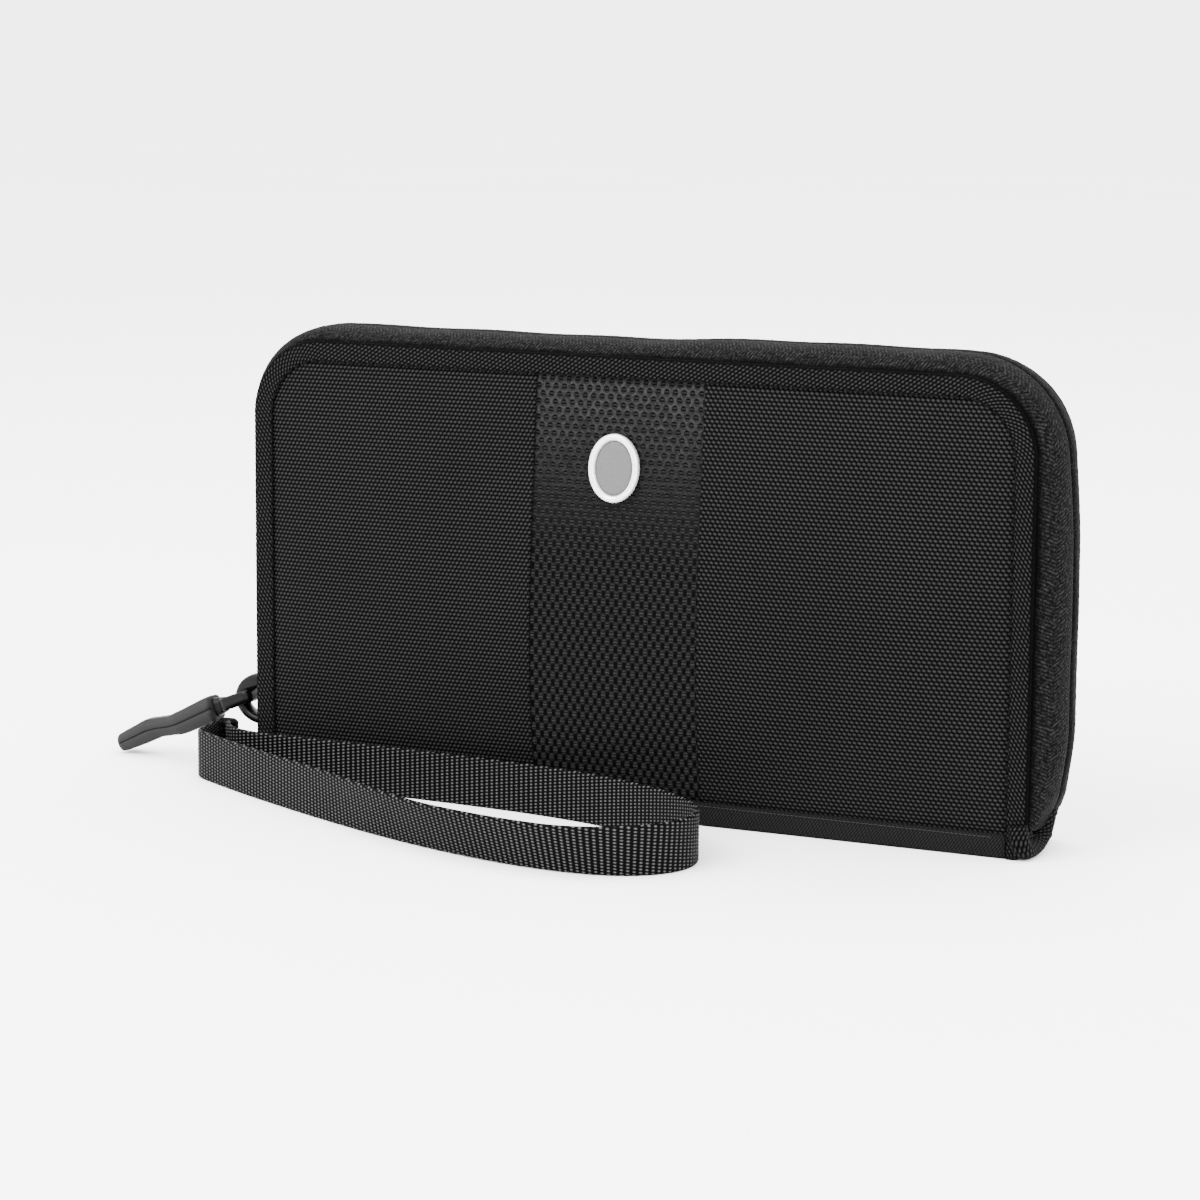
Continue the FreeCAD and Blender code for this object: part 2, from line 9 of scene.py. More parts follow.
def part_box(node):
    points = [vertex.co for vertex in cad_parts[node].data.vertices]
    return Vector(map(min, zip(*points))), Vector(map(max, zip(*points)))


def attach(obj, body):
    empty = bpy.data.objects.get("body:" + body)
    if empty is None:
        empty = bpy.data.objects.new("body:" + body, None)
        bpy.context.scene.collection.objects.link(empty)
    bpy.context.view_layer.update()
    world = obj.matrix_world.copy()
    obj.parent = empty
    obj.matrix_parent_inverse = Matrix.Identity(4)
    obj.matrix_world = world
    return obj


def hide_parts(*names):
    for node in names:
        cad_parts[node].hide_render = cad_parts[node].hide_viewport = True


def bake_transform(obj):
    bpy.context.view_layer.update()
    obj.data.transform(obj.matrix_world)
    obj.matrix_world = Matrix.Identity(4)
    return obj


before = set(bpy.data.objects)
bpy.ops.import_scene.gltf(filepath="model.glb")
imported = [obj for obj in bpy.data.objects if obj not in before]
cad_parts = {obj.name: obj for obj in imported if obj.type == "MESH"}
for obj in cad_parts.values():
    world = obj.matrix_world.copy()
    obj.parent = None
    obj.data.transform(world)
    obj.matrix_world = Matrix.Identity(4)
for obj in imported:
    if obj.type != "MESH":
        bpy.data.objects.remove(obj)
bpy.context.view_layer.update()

# Pieces are worked out in millimetres in the frame's axes, and stored in metres.
MM = 0.001
FRONT = "front_and_spine"
BACK = "back_cover"
SLIDER = "zip_slider"
PULLER = "zip_puller"
COIN_SLIDER = "coin_slider_body"
COIN_PULLER = "coin_puller_body"

CORNER_R = 19.0
BINDING_W = 4.5
CROWN = 3.8
BACK_CROWN = 3.2
CROWN_PEAK = 1.056
EDGE_STEP = 0.42
SHEET_EDGE = 0.12
BADGE_TILT = math.radians(4.8)
BADGE_FACE_Y = -14.32
BADGE_HALF_Z = 8.5
BADGE_RIM_W = 1.7


def cad(node):
    """Lowest and highest corner of a CAD node, in millimetres."""
    low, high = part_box(node)
    return low / MM, high / MM


binding_high = cad("front_binding")[1]
HALF_X = binding_high.x
HEIGHT = binding_high.z
KNEE = HEIGHT - CORNER_R
spine_high = cad("spine_panel")[1]
LIP_H = spine_high.z
SPINE_X = spine_high.x
SKIN_Y = 12.7
BAND_Y = 12.45
STIFFENER_Y = 9.1
LINING_Y = 8.3
INNER_Y = 7.8
BAND_LEFT = cad("front_centre_band")[0].x
BAND_RIGHT = cad("front_centre_band")[1].x
ZIP_FOOT = cad("front_zip_tape")[0].z


# ---------------------------------------------------------------- mesh helpers

def new_object(name, verts, faces, uvs=None, smooth=True):
    """A mesh object from points in millimetres; uvs has one pair per face corner."""
    mesh = bpy.data.meshes.new(name)
    mesh.from_pydata([Vector(v) * MM for v in verts], [], faces)
    if uvs is not None:
        layer = mesh.uv_layers.new(name="UVMap")
        layer.data.foreach_set("uv", [c for uv in uvs for c in uv])
    obj = bpy.data.objects.new(name, mesh)
    bpy.context.scene.collection.objects.link(obj)
    edit = bmesh.new()
    edit.from_mesh(mesh)
    bmesh.ops.recalc_face_normals(edit, faces=edit.faces)
    for face in edit.faces:
        face.smooth = smooth
    edit.to_mesh(mesh)
    edit.free()
    return obj


def lengths(points):
    """Running length along a list of points, starting at 0."""
    total = [0.0]
    for a, b in zip(points, points[1:]):
        total.append(total[-1] + (Vector(b) - Vector(a)).length)
    return total


def place_on(run, distance):
    """Which step of a running length a distance falls in, and how far along that step."""
    j = min(max(bisect_left(run, distance) - 1, 0), len(run) - 2)
    return j, (distance - run[j]) / (run[j + 1] - run[j])


def circle(count):
    """Even angles round a full turn."""
    return [2 * math.pi * k / count for k in range(count)]


def boxy(value, power):
    """A value pushed towards 1 or -1, which squares a circle off."""
    return math.copysign(abs(value) ** power, value)


def across_line(line):
    """Each point of a line with two directions across it that turn as little as they can."""
    across = (line[1] - line[0]).normalized().orthogonal().normalized()
    for i, point in enumerate(line):
        ahead = (line[min(i + 1, len(line) - 1)] - line[max(i - 1, 0)]).normalized()
        across = (across - ahead * across.dot(ahead)).normalized()
        yield point, across, ahead.cross(across)


def sweep(name, rings, along, across, closed=True, caps=True):
    """A skin through rings of points. along and across are UVs in millimetres."""
    n = len(rings[0])
    verts = [p for ring in rings for p in ring]
    faces = []
    uvs = []
    for i in range(len(rings) - 1):
        for j in range(n if closed else n - 1):
            k = (j + 1) % n
            faces.append((i * n + j, i * n + k, (i + 1) * n + k, (i + 1) * n + j))
            uvs += [(along[i], across[j]), (along[i], across[j + 1]),
                    (along[i + 1], across[j + 1]), (along[i + 1], across[j])]
    if closed and caps:
        for i in (0, len(rings) - 1):
            faces.append(tuple(i * n + j for j in range(n)))
            uvs += [(along[i], across[j]) for j in range(n)]
    return new_object(name, verts, faces, uvs)


# The finish slot of each material whose name isn't the slot's own.
SLOTS = {
    "band_mesh": "mesh_band", "coil_nylon": "coil", "coin_knit": "zip_knit",
    "dark_thread": "binding_twill", "rolled_twill": "binding_twill", "spine_twill": "binding_twill",
    "thread": "binding_twill", "webbing_back": "webbing",
}


def finish_piece(obj, body, material, *replaced, slot=None):
    """Gives a piece its material and its body, and hides the CAD nodes it stands for."""
    obj.data.materials.append(materials[material])
    slot or SLOTS.get(material, material)
    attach(obj, body)
    if replaced:
        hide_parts(*replaced)
    return obj


def bevelled(obj, width, segments=3):
    """Round a piece's hard edges; width in millimetres."""
    bevel = obj.modifiers.new("bevel", "BEVEL")
    bevel.width = width * MM
    bevel.segments = segments
    bevel.limit_method = "ANGLE"
    bevel.angle_limit = math.radians(35)
    return obj


def smooth_shaded(obj):
    """Shades every face of a piece smoothly."""
    for face in obj.data.polygons:
        face.use_smooth = True


def closed_sheet(name, fronts, backs, columns, squeeze=1.0):
    """A closed sheet from rows of points and the same points on its back.

    squeeze scales its UVs along x."""
    n = columns + 1
    rows = len(fronts) // n - 1
    count = len(fronts)
    verts = fronts + backs
    faces = []
    for i in range(rows):
        for j in range(columns):
            a = i * n + j
            faces.append((a, a + 1, a + n + 1, a + n))
            faces.append((count + a, count + a + n, count + a + n + 1, count + a + 1))
    border = list(range(n)) + [i * n + n - 1 for i in range(1, rows + 1)]
    border += [rows * n + j for j in range(n - 2, -1, -1)] + [i * n for i in range(rows - 1, 0, -1)]
    for a, b in zip(border, border[1:] + border[:1]):
        faces.append((a, b, count + b, count + a))
    uvs = [(verts[k].x * squeeze, verts[k].z) for face in faces for k in face]
    return new_object(name, verts, faces, uvs)


def loop_solid(name, outline, front, back):
    """A flat solid between two copies of an outline, moved by two vectors."""
    n = len(outline)
    verts = [Vector(p) + Vector(front) for p in outline] + [Vector(p) + Vector(back) for p in outline]
    faces = [tuple(range(n)), tuple(range(n, 2 * n))]
    uvs = [(p[0], p[2]) for p in outline] * 2
    for j in range(n):
        k = (j + 1) % n
        faces.append((j, k, n + k, n + j))
        uvs += [(j, 0), (k, 0), (k, 1), (j, 1)]
    return new_object(name, verts, faces, uvs, smooth=False)


def edge_outline(step, left_foot, right_foot):
    """Points up the left edge, over the top and down the right: (x, z, outward x, outward z)."""
    spots = []
    for sign, foot in ((-1, left_foot), (1, right_foot)):
        count = max(2, round((KNEE - foot) / step))
        leg = [(sign * HALF_X, foot + (KNEE - foot) * i / count, sign, 0) for i in range(count)]
        turns = max(8, round(CORNER_R * math.pi / 2 / step))
        corner = []
        for i in range(turns + 1):
            a = math.pi / 2 * i / turns
            nx = sign * math.cos(a)
            nz = math.sin(a)
            corner.append((sign * (HALF_X - CORNER_R) + CORNER_R * nx, KNEE + CORNER_R * nz, nx, nz))
        half = leg + corner
        if sign < 0:
            spots += half
        else:
            top_run = 2 * (HALF_X - CORNER_R)
            count = round(top_run / step)
            start = spots[-1]
            spots += [(start[0] + top_run * i / count, HEIGHT, 0, 1) for i in range(1, count)]
            spots += half[::-1]
    return spots


def edge_sweep(name, profile, left_foot, right_foot, shape):
    """Sweeps a closed profile of (outward, y) round the cover's edge.

    shape(u, v, r, y, x, z) may move a profile point, for stitches and folds."""
    spots = edge_outline(EDGE_STEP, left_foot, right_foot)
    along = lengths([(x, 0, z) for x, z, nx, nz in spots])
    across = lengths([(r, y, 0) for r, y in profile + profile[:1]])
    rings = []
    for (x, z, nx, nz), u in zip(spots, along):
        moved = [shape(u, v, r, y, x, z) for (r, y), v in zip(profile, across)]
        rings.append([Vector((x + nx * r, y, z + nz * r)) for r, y in moved])
    return sweep(name, rings, along, across)


def refined(profile, spacing, count):
    """The profile with extra points between its first count ones."""
    dense = []
    for i, (a, b) in enumerate(zip(profile, profile[1:] + profile[:1])):
        parts = 1
        if i < count:
            parts = max(1, round(math.dist(a, b) / spacing))
        dense += [(a[0] + (b[0] - a[0]) * k / parts, a[1] + (b[1] - a[1]) * k / parts)
                  for k in range(parts)]
    return dense


def mirrored(profile):
    """The same profile on the back cover."""
    return [(r, -y) for r, y in profile]


def crown(x, z, height):
    """How far a stuffed cover stands out at a point of its face."""
    u = x / (HALF_X - BINDING_W)
    t = (z - LIP_H) / (HEIGHT - BINDING_W - LIP_H)
    return height * (1 - u ** 4) * 4 * t * (1 - t) * (1.5 - t) / CROWN_PEAK


# ------------------------------------------------------------ material helpers

class Shader:
    """A procedural material whose patterns run on UVs in millimetres."""

    def __init__(self, name, roughness=0.7, metallic=0.0):
        self.material = bpy.data.materials.new(name)
        self.material.use_nodes = True
        self.nodes = self.material.node_tree.nodes
        self.links = self.material.node_tree.links
        self.surface = self.nodes["Principled BSDF"]
        self.surface.inputs["Roughness"].default_value = roughness
        self.surface.inputs["Metallic"].default_value = metallic
        coordinates = self.nodes.new("ShaderNodeTexCoord")
        self.place = coordinates.outputs["Object"]
        split = self.nodes.new("ShaderNodeSeparateXYZ")
        self.links.new(coordinates.outputs["UV"], split.inputs[0])
        self.u = split.outputs["X"]
        self.v = split.outputs["Y"]

    def put(self, value, socket):
        """Links a socket or sets a plain value."""
        if isinstance(value, bpy.types.NodeSocket):
            self.links.new(value, socket)
        else:
            socket.default_value = value

    def math(self, kind, a, b=0.0):
        node = self.nodes.new("ShaderNodeMath")
        node.operation = kind
        self.put(a, node.inputs[0])
        self.put(b, node.inputs[1])
        return node.outputs[0]

    def plus(self, a, b):
        return self.math("ADD", a, b)

    def minus(self, a, b):
        return self.math("SUBTRACT", a, b)

    def times(self, a, b):
        return self.math("MULTIPLY", a, b)

    def paint(self, colour):
        """Sets the surface's colour."""
        self.put(colour, self.surface.inputs["Base Color"])

    def shine(self, level):
        """Sets how much the surface reflects."""
        self.surface.inputs["Specular IOR Level"].default_value = level

    def ramp(self, value, low, high, out_low=0.0, out_high=1.0):
        """Maps a value smoothly from one range to another."""
        node = self.nodes.new("ShaderNodeMapRange")
        node.interpolation_type = "SMOOTHSTEP"
        self.put(value, node.inputs["Value"])
        for socket, number in zip(("From Min", "From Max", "To Min", "To Max"),
                                  (low, high, out_low, out_high)):
            node.inputs[socket].default_value = number
        return node.outputs["Result"]

    def noise(self, scale, detail=3.0, vector=None):
        """Noise with features about 1/scale metres across."""
        node = self.nodes.new("ShaderNodeTexNoise")
        node.inputs["Scale"].default_value = scale
        node.inputs["Detail"].default_value = detail
        self.links.new(vector or self.place, node.inputs["Vector"])
        return node.outputs["Fac"]

    def blend(self, amount, first, second):
        """A colour between two colours."""
        node = self.nodes.new("ShaderNodeMix")
        node.data_type = "RGBA"
        self.put(amount, node.inputs["Factor"])
        self.put(first if isinstance(first, bpy.types.NodeSocket) else (*first, 1), node.inputs["A"])
        self.put(second if isinstance(second, bpy.types.NodeSocket) else (*second, 1),
                 node.inputs["B"])
        return node.outputs["Result"]

    def bump(self, height, distance, strength=1.0):
        """Surface relief; distance in millimetres."""
        node = self.nodes.new("ShaderNodeBump")
        node.inputs["Distance"].default_value = distance * MM
        node.inputs["Strength"].default_value = strength
        self.links.new(height, node.inputs["Height"])
        if self.surface.inputs["Normal"].is_linked:
            self.links.new(self.surface.inputs["Normal"].links[0].from_socket, node.inputs["Normal"])
        self.links.new(node.outputs[0], self.surface.inputs["Normal"])

    def waves(self, recipe):
        """Sum of plane waves, from 0 to 1. recipe has (cycles per mm in u, in v, weight) rows."""
        total = None
        weights = 0.0
        for along, across, weight in recipe:
            phase = self.plus(self.times(self.u, 2 * math.pi * along),
                              self.times(self.v, 2 * math.pi * across))
            wave = self.times(self.math("COSINE", phase), weight)
            total = wave if total is None else self.plus(total, wave)
            weights += weight
        return self.plus(self.times(total, 0.5 / weights), 0.5)

    def cell(self, value, pitch, shift=0.0):
        """Position in a repeat, from -1 to 1."""
        part = self.math("FRACT", self.plus(self.math("DIVIDE", value, pitch), shift))
        return self.minus(self.times(part, 2.0), 1.0)

    def hump(self, position):
        """1 in the middle of a repeat and 0 at its ends."""
        return self.minus(1.0, self.times(position, position))

    def ovals(self, pitch_u, row, half_u, half_v):
        """Staggered ovals: above 0 inside one, 1 in its middle, clamped at 0 outside."""
        best = None
        for shift in (0.0, 0.5):
            a = self.times(self.cell(self.u, pitch_u, shift), pitch_u / 2 / half_u)
            b = self.times(self.cell(self.v, 2 * row, shift), row / half_v)
            far = self.plus(self.times(a, a), self.times(b, b))
            inside = self.minus(1.0, far)
            best = inside if best is None else self.math("MAXIMUM", best, inside)
        return self.math("MAXIMUM", best, 0.0)

    def chevron(self, pitch, column, slope):
        """Ribs that slant both ways from the middle of each column."""
        s = self.math("ABSOLUTE", self.cell(self.v, column))
        slanted = self.plus(self.u, self.times(s, slope * column / 2))
        return self.hump(self.cell(slanted, pitch))

    def streaks(self, column, slope, fine, coarse):
        """Short random strands that slant both ways from the middle of each column."""
        s = self.math("ABSOLUTE", self.cell(self.v, column))
        slanted = self.plus(self.u, self.times(s, slope * column / 2))
        join = self.nodes.new("ShaderNodeCombineXYZ")
        self.put(self.times(slanted, fine), join.inputs["X"])
        self.put(self.times(self.v, coarse), join.inputs["Y"])
        return self.noise(1.0, 2.0, join.outputs[0])

    def shade(self, *bands):
        """Darkening across v: each band has (dark end, light end, what is left at the dark end)."""
        total = 1.0
        for dark, light, left in bands:
            low, high = min(dark, light), max(dark, light)
            ends = (left, 1.0) if dark < light else (1.0, left)
            total = self.times(total, self.ramp(self.v, low, high, *ends))
        return total

    def cloth_surface(self):
        """Constants that every cloth shares: little shine, and a faint sheen; the threads' highlights
        are painted into the cloth colours instead.
        """
        self.shine(0.014)
        self.surface.inputs["Sheen Weight"].default_value = 0.003
        self.surface.inputs["Sheen Roughness"].default_value = 0.4


# Weaves as plane waves: cycles per mm along u and v, and a weight.
BALLISTIC = ((0.0, 0.99, 1.0), (0.78, 0.495, 0.95), (0.78, -0.495, 0.4))
TWILL = ((0.715, -0.906, 1.0), (0.288, 1.03, 0.55), (1.003, 0.124, 0.35))
FINE_TWILL = ((1.26, -0.94, 1.0), (0.936, 0.386, 0.5))
WEBBING = ((0.685, 0.0, 1.0), (0.205, 1.18, 0.8), (-0.48, 1.18, 0.5), (0.89, 1.18, 0.3))
LINING = ((0.95, 0.8, 1.0), (0.95, -0.8, 1.0))
BAND_PITCH = 2.31
BAND_ROW = 1.95
BAND_OVAL = (0.8, 0.98)
GRIP_ROUND = 24.0
KNIT_PITCH = 0.92
KNIT_COLUMN = 10.4
KNIT_SLOPE = 0.5


def wave_level(recipe, u, v):
    """The same waves as Shader.waves, worked out for the mesh."""
    weights = sum(weight for a, b, weight in recipe)
    total = sum(weight * math.cos(2 * math.pi * (a * u + b * v)) for a, b, weight in recipe)
    return 0.5 + 0.5 * total / weights


def eased(value, low, high):
    """Smooth step from 0 at low to 1 at high."""
    t = max(0.0, min(1.0, (value - low) / (high - low)))
    return t * t * (3 - 2 * t)


def woven(name, dark, light, recipe, window, relief, power, roughness, painted_shade_bands):
    """A woven cloth: dark gaps, lighter thread floats (partly their own tone, partly painted highlight),
    and slight unevenness.
    """
    shader = Shader(name, roughness)
    level = shader.ramp(shader.waves(recipe), *window)
    fibre = shader.ramp(shader.noise(2600.0, 2.0), 0.3, 0.7, 0.75, 1.15)
    patch = shader.ramp(shader.noise(25.0, 3.0), 0.3, 0.7, 0.93, 1.05)
    amount = shader.times(shader.math("POWER", level, power), shader.times(fibre, patch))
    # Painted shade: bands across v darken the colour for the shadow in the grooves at the cloth's edges.
    if painted_shade_bands:
        amount = shader.times(amount, shader.shade(*painted_shade_bands))
    shader.paint(shader.blend(amount, (dark,) * 3, (light,) * 3))
    shader.bump(level, relief)
    shader.cloth_surface()
    return shader.material


def band_material():
    """Mesh band: a pale net round dark cells at the top, fading to dark bumps at the foot, with painted
    shade along both long edges.
    """
    shader = Shader("band mesh", 0.7)
    ovals = shader.ovals(BAND_PITCH, BAND_ROW, *BAND_OVAL)
    oval = shader.ramp(ovals, 0.02, 0.4)
    rim = shader.times(oval, shader.minus(1.0, oval))
    shadow = shader.minus(1.0, shader.times(rim, 2.4))
    lines = shader.ramp(shader.waves(((0.433, 1.28, 1.0), (0.433, -1.28, 1.0))), 0.3, 0.72)
    net_line = shader.ramp(shader.waves(((0.433, 0.256, 1.0), (0.433, -0.256, 1.0))), 0.3, 0.75)
    height = shader.ramp(shader.v, 18.0, 112.0)
    top = shader.ramp(shader.v, 62.0, 118.0)
    streak = shader.ramp(shader.noise(900.0, 2.0), 0.35, 0.65)
    net = shader.blend(top, shader.blend(net_line, (0.0006,) * 3, (0.0088,) * 3),
                       shader.blend(streak, (0.0085,) * 3, (0.0165,) * 3))
    cell_low = shader.blend(lines, (0.003,) * 3, (0.0125,) * 3)
    cell_high = shader.blend(lines, (0.0006,) * 3, (0.0078,) * 3)
    cell = shader.blend(height, cell_low, cell_high)
    half = (BAND_RIGHT - BAND_LEFT) / 2
    off_middle = shader.math("ABSOLUTE", shader.minus(shader.u, (BAND_LEFT + BAND_RIGHT) / 2))
    # Painted shade: the colour falls to a fifth within about a millimetre of the band's long edges, for
    # the shadow where the side panels overlap it; fibre carries it below.
    seam = shader.ramp(off_middle, half - 1.3, half - 0.2, 1.0, 0.2)
    fibre = shader.ramp(shader.noise(2600.0, 2.0), 0.3, 0.7, 0.7, 1.2)
    fibre = shader.times(shader.times(seam, fibre), shadow)
    colour = shader.blend(oval, net, cell)
    scaled = shader.nodes.new("ShaderNodeVectorMath")
    scaled.operation = "SCALE"
    shader.put(colour, scaled.inputs[0])
    shader.put(fibre, scaled.inputs["Scale"])
    shader.paint(scaled.outputs[0])
    shader.bump(lines, 0.03)
    shader.cloth_surface()
    return shader.material


def knit_material(name, column, pitch, slope, dark, light, relief, painted_shade_bands):
    """Zip tape: short slanted strands in columns, with scattered bright fibres."""
    shader = Shader(name, 0.7)
    strand = shader.ramp(shader.streaks(column, slope, 1.3, 0.8), 0.36, 0.62, 0.15, 1.0)
    rows = shader.math("POWER", shader.chevron(pitch, column, slope), 1.5)
    speck = shader.ramp(shader.noise(1700.0, 2.0), 0.35, 0.68, 0.2, 1.5)
    amount = shader.times(shader.times(strand, rows), speck)
    amount = shader.plus(amount, shader.times(speck, 0.08))
    # Painted shade: bands across v darken the colour for the shadow in the grooves at the tape's edges.
    if painted_shade_bands:
        amount = shader.times(amount, shader.shade(*painted_shade_bands))
    amount = shader.math("MINIMUM", amount, 1.0)
    shader.paint(shader.blend(amount, (dark,) * 3, (light,) * 3))
    shader.bump(amount, relief)
    shader.cloth_surface()
    return shader.material


# Slot: dark, light, weave, window, relief, power, roughness, painted shade bands across v (groove
# shadows at a tape's edges).
WOVEN = {
    "ballistic_weave": (0.0002, 0.0128, BALLISTIC, (0.23, 0.84), 0.1, 1.6, 0.7, ()),
    # binding_twill: painted shadow in the grooves along its inner edge, against the panel, and its outer
    # edge, against the zip tape.
    "binding_twill": (0.0003, 0.0125, TWILL, (0.3, 0.86), 0.08, 1.6, 0.7,
                      ((0.1, 0.5, 0.35), (5.2, 4.75, 0.0))),
    "rolled_twill": (0.0003, 0.0115, TWILL, (0.3, 0.86), 0.08, 1.6, 0.7, ()),
    "spine_twill": (0.0012, 0.0085, FINE_TWILL, (0.2, 0.8), 0.03, 1.5, 0.7, ()),
    "webbing": (0.0006, 0.047, WEBBING, (0.34, 0.95), 0.12, 1.7, 0.55, ()),
    "webbing_back": (0.0006, 0.006, WEBBING, (0.3, 0.95), 0.12, 1.6, 0.7, ()),
    "lining": (0.002, 0.0135, LINING, (0.25, 0.85), 0.03, 1.4, 0.7, ()),
}


def plain(name, colour, roughness, metallic, grain, grain_scale, shine):
    """A smooth material with a fine procedural grain and slight colour change."""
    shader = Shader(name, roughness, metallic)
    speck = shader.noise(grain_scale, 4.0)
    tint = shader.ramp(speck, 0.3, 0.7)
    darker = tuple(c * 0.8 for c in colour)
    shader.paint(shader.blend(tint, darker, colour))
    rough = shader.ramp(shader.noise(grain_scale / 6, 3.0), 0.3, 0.7,
                        max(0.02, roughness - 0.06), min(1.0, roughness + 0.06))
    shader.put(rough, shader.surface.inputs["Roughness"])
    shader.shine(shine)
    shader.bump(speck, grain)
    return shader.material


def grip_material():
    """Moulded rubber: sides painted lighter and back and belly painted darker, as painted shade at the
    grip's edges, and a parting line.
    """
    shader = Shader("grip rubber", 0.55)
    round_it = shader.math("ABSOLUTE", shader.cell(shader.v, GRIP_ROUND / 2))
    # Painted shade: side is high on the faces across the grip's width and low on its back and belly,
    # darkening the edges that turn from the light.
    side = shader.times(shader.ramp(round_it, 0.4, 0.56), shader.ramp(round_it, 0.97, 0.95))
    speck = shader.ramp(shader.noise(3500.0, 3.0), 0.3, 0.7, 0.85, 1.1)
    shader.paint(shader.blend(shader.times(side, speck), (0.003,) * 3, (0.0115,) * 3))
    shader.shine(0.06)
    shader.bump(shader.noise(3500.0, 3.0), 0.02)
    return shader.material


def clear_film():
    """Thin clear plastic sheet."""
    shader = Shader("clear film", 0.12)
    shader.surface.inputs["Base Color"].default_value = (0.95, 0.96, 0.97, 1)
    shader.surface.inputs["Transmission Weight"].default_value = 1.0
    shader.surface.inputs["IOR"].default_value = 1.12
    shader.shine(0.3)
    shader.put(shader.ramp(shader.noise(60.0, 2.0), 0.3, 0.7, 0.08, 0.2),
               shader.surface.inputs["Roughness"])
    return shader.material


# Slot: colour, roughness, metallic, grain in mm, grain scale, shine.
PLAIN = {
    "black_metal": ((0.0015,) * 3, 0.28, 0.0, 0.003, 900.0, 0.08),
    "plaque_rim": ((0.75, 0.75, 0.755), 0.3, 0.5, 0.003, 1200.0, 0.5),
    "plaque_field": ((0.07, 0.07, 0.0705), 0.42, 0.1, 0.004, 2500.0, 0.2),
    "coil_nylon": ((0.003,) * 3, 0.45, 0.0, 0.01, 1500.0, 0.05),
    "foam": ((0.01,) * 3, 0.95, 0.0, 0.1, 1500.0, 0.05),
    "board": ((0.02,) * 3, 0.8, 0.0, 0.02, 700.0, 0.1),
    "thread": ((0.016,) * 3, 0.6, 0.0, 0.01, 4000.0, 0.05),
    "dark_thread": ((0.0015,) * 3, 0.7, 0.0, 0.01, 4000.0, 0.03),
}

materials = {slot: woven(slot + "_cloth", *values) for slot, values in WOVEN.items()}
materials.update({slot: plain(slot + "_surface", *values) for slot, values in PLAIN.items()})
materials["band_mesh"] = band_material()
# zip_knit: painted shadow, black in the groove under the binding (v below 1.5) and darker in the crevice
# where the two tapes meet (v above 9.4).
materials["zip_knit"] = knit_material("zip knit", KNIT_COLUMN, KNIT_PITCH, KNIT_SLOPE, 0.0003, 0.0116,
                                      0.2, ((1.5, 3.0, 0.0), (12.8, 9.4, 0.28)))
materials["coin_knit"] = knit_material("coin knit", 1.5, 1.0, 1.0, 0.001, 0.01, 0.05, ())
materials["grip_rubber"] = grip_material()
materials["clear_film"] = clear_film()


# ------------------------------------------------------- camera, light and floor

def make_stage():
    """Camera at the viewing angle, a plain pale floor and soft studio light."""
    yaw, pitch, roll = math.radians(24.93), math.radians(9.48), math.radians(0.4)
    camera_place = Vector((377.2, -839.2, 206.8)) * MM
    focal_length = 111.54
    ahead = Vector((-math.sin(yaw) * math.cos(pitch), math.cos(yaw) * math.cos(pitch),
                    -math.sin(pitch)))
    right = Vector((math.cos(yaw), math.sin(yaw), 0))
    up = right.cross(ahead)
    turned_right = right * math.cos(roll) + up * math.sin(roll)
    turned_up = up * math.cos(roll) - right * math.sin(roll)
    data = bpy.data.cameras.new("camera")
    data.sensor_width = 36.0
    data.lens = focal_length
    data.clip_start = 0.01
    camera = bpy.data.objects.new("camera", data)
    basis = Matrix((turned_right, turned_up, -ahead)).transposed()
    camera.matrix_world = Matrix.Translation(camera_place) @ basis.to_4x4()
    bpy.context.scene.collection.objects.link(camera)
    bpy.context.scene.camera = camera

    size = 60000.0
    floor = new_object("floor", [(-size, -size, 0), (size, -size, 0), (size, size, 0),
                                 (-size, size, 0)], [(0, 1, 2, 3)])
    shader = Shader("pale floor", 0.8)
    cloud = shader.ramp(shader.noise(3.0), 0.3, 0.7)
    shader.paint(shader.blend(cloud, (0.9, 0.9, 0.9), (0.92, 0.92, 0.92)))
    floor.data.materials.append(shader.material)

    world = bpy.data.worlds.new("studio")
    world.use_nodes = True
    world.node_tree.nodes["Background"].inputs["Color"].default_value = (1, 1, 1, 1)
    world.node_tree.nodes["Background"].inputs["Strength"].default_value = 5.0
    bpy.context.scene.world = world
    for name, place, power, width in (
            ("key", (-0.5, -0.9, 1.0), 40.0, 0.9),
            ("fill", (1.0, -0.9, 0.6), 20.0, 0.9),
            ("top", (0.0, 0.3, 1.3), 30.0, 1.2)):
        lamp = bpy.data.lights.new(name, "AREA")
        lamp.energy = power
        lamp.size = width
        light = bpy.data.objects.new(name, lamp)
        light.location = place
        aim = Vector((0, 0, 0.05)) - Vector(place)
        light.rotation_euler = aim.to_track_quat("-Z", "Y").to_euler()
        bpy.context.scene.collection.objects.link(light)


# ----------------------------------------------------------------- wrist strap

STRAP_W = 12.7
STRAP_T = 1.4
STRAP_LEAN = math.radians(20)
STRAP_ROUTE = [
    (-0.1220, -0.0050), (-0.1204, -0.0160), (-0.1190, -0.0196), (-0.1135, -0.0232),
    (-0.0970, -0.0328), (-0.0680, -0.0478),
    (-0.0380, -0.0612), (-0.0090, -0.0702), (0.0145, -0.0726), (0.0302, -0.0676),
    (0.0371, -0.0565), (0.0344, -0.0440), (0.0212, -0.0324), (0.0020, -0.0244),
    (-0.0200, -0.0196), (-0.0480, -0.0175), (-0.0780, -0.0165), (-0.1030, -0.0164),
    (-0.1150, -0.0122), (-0.1188, -0.0050),
]


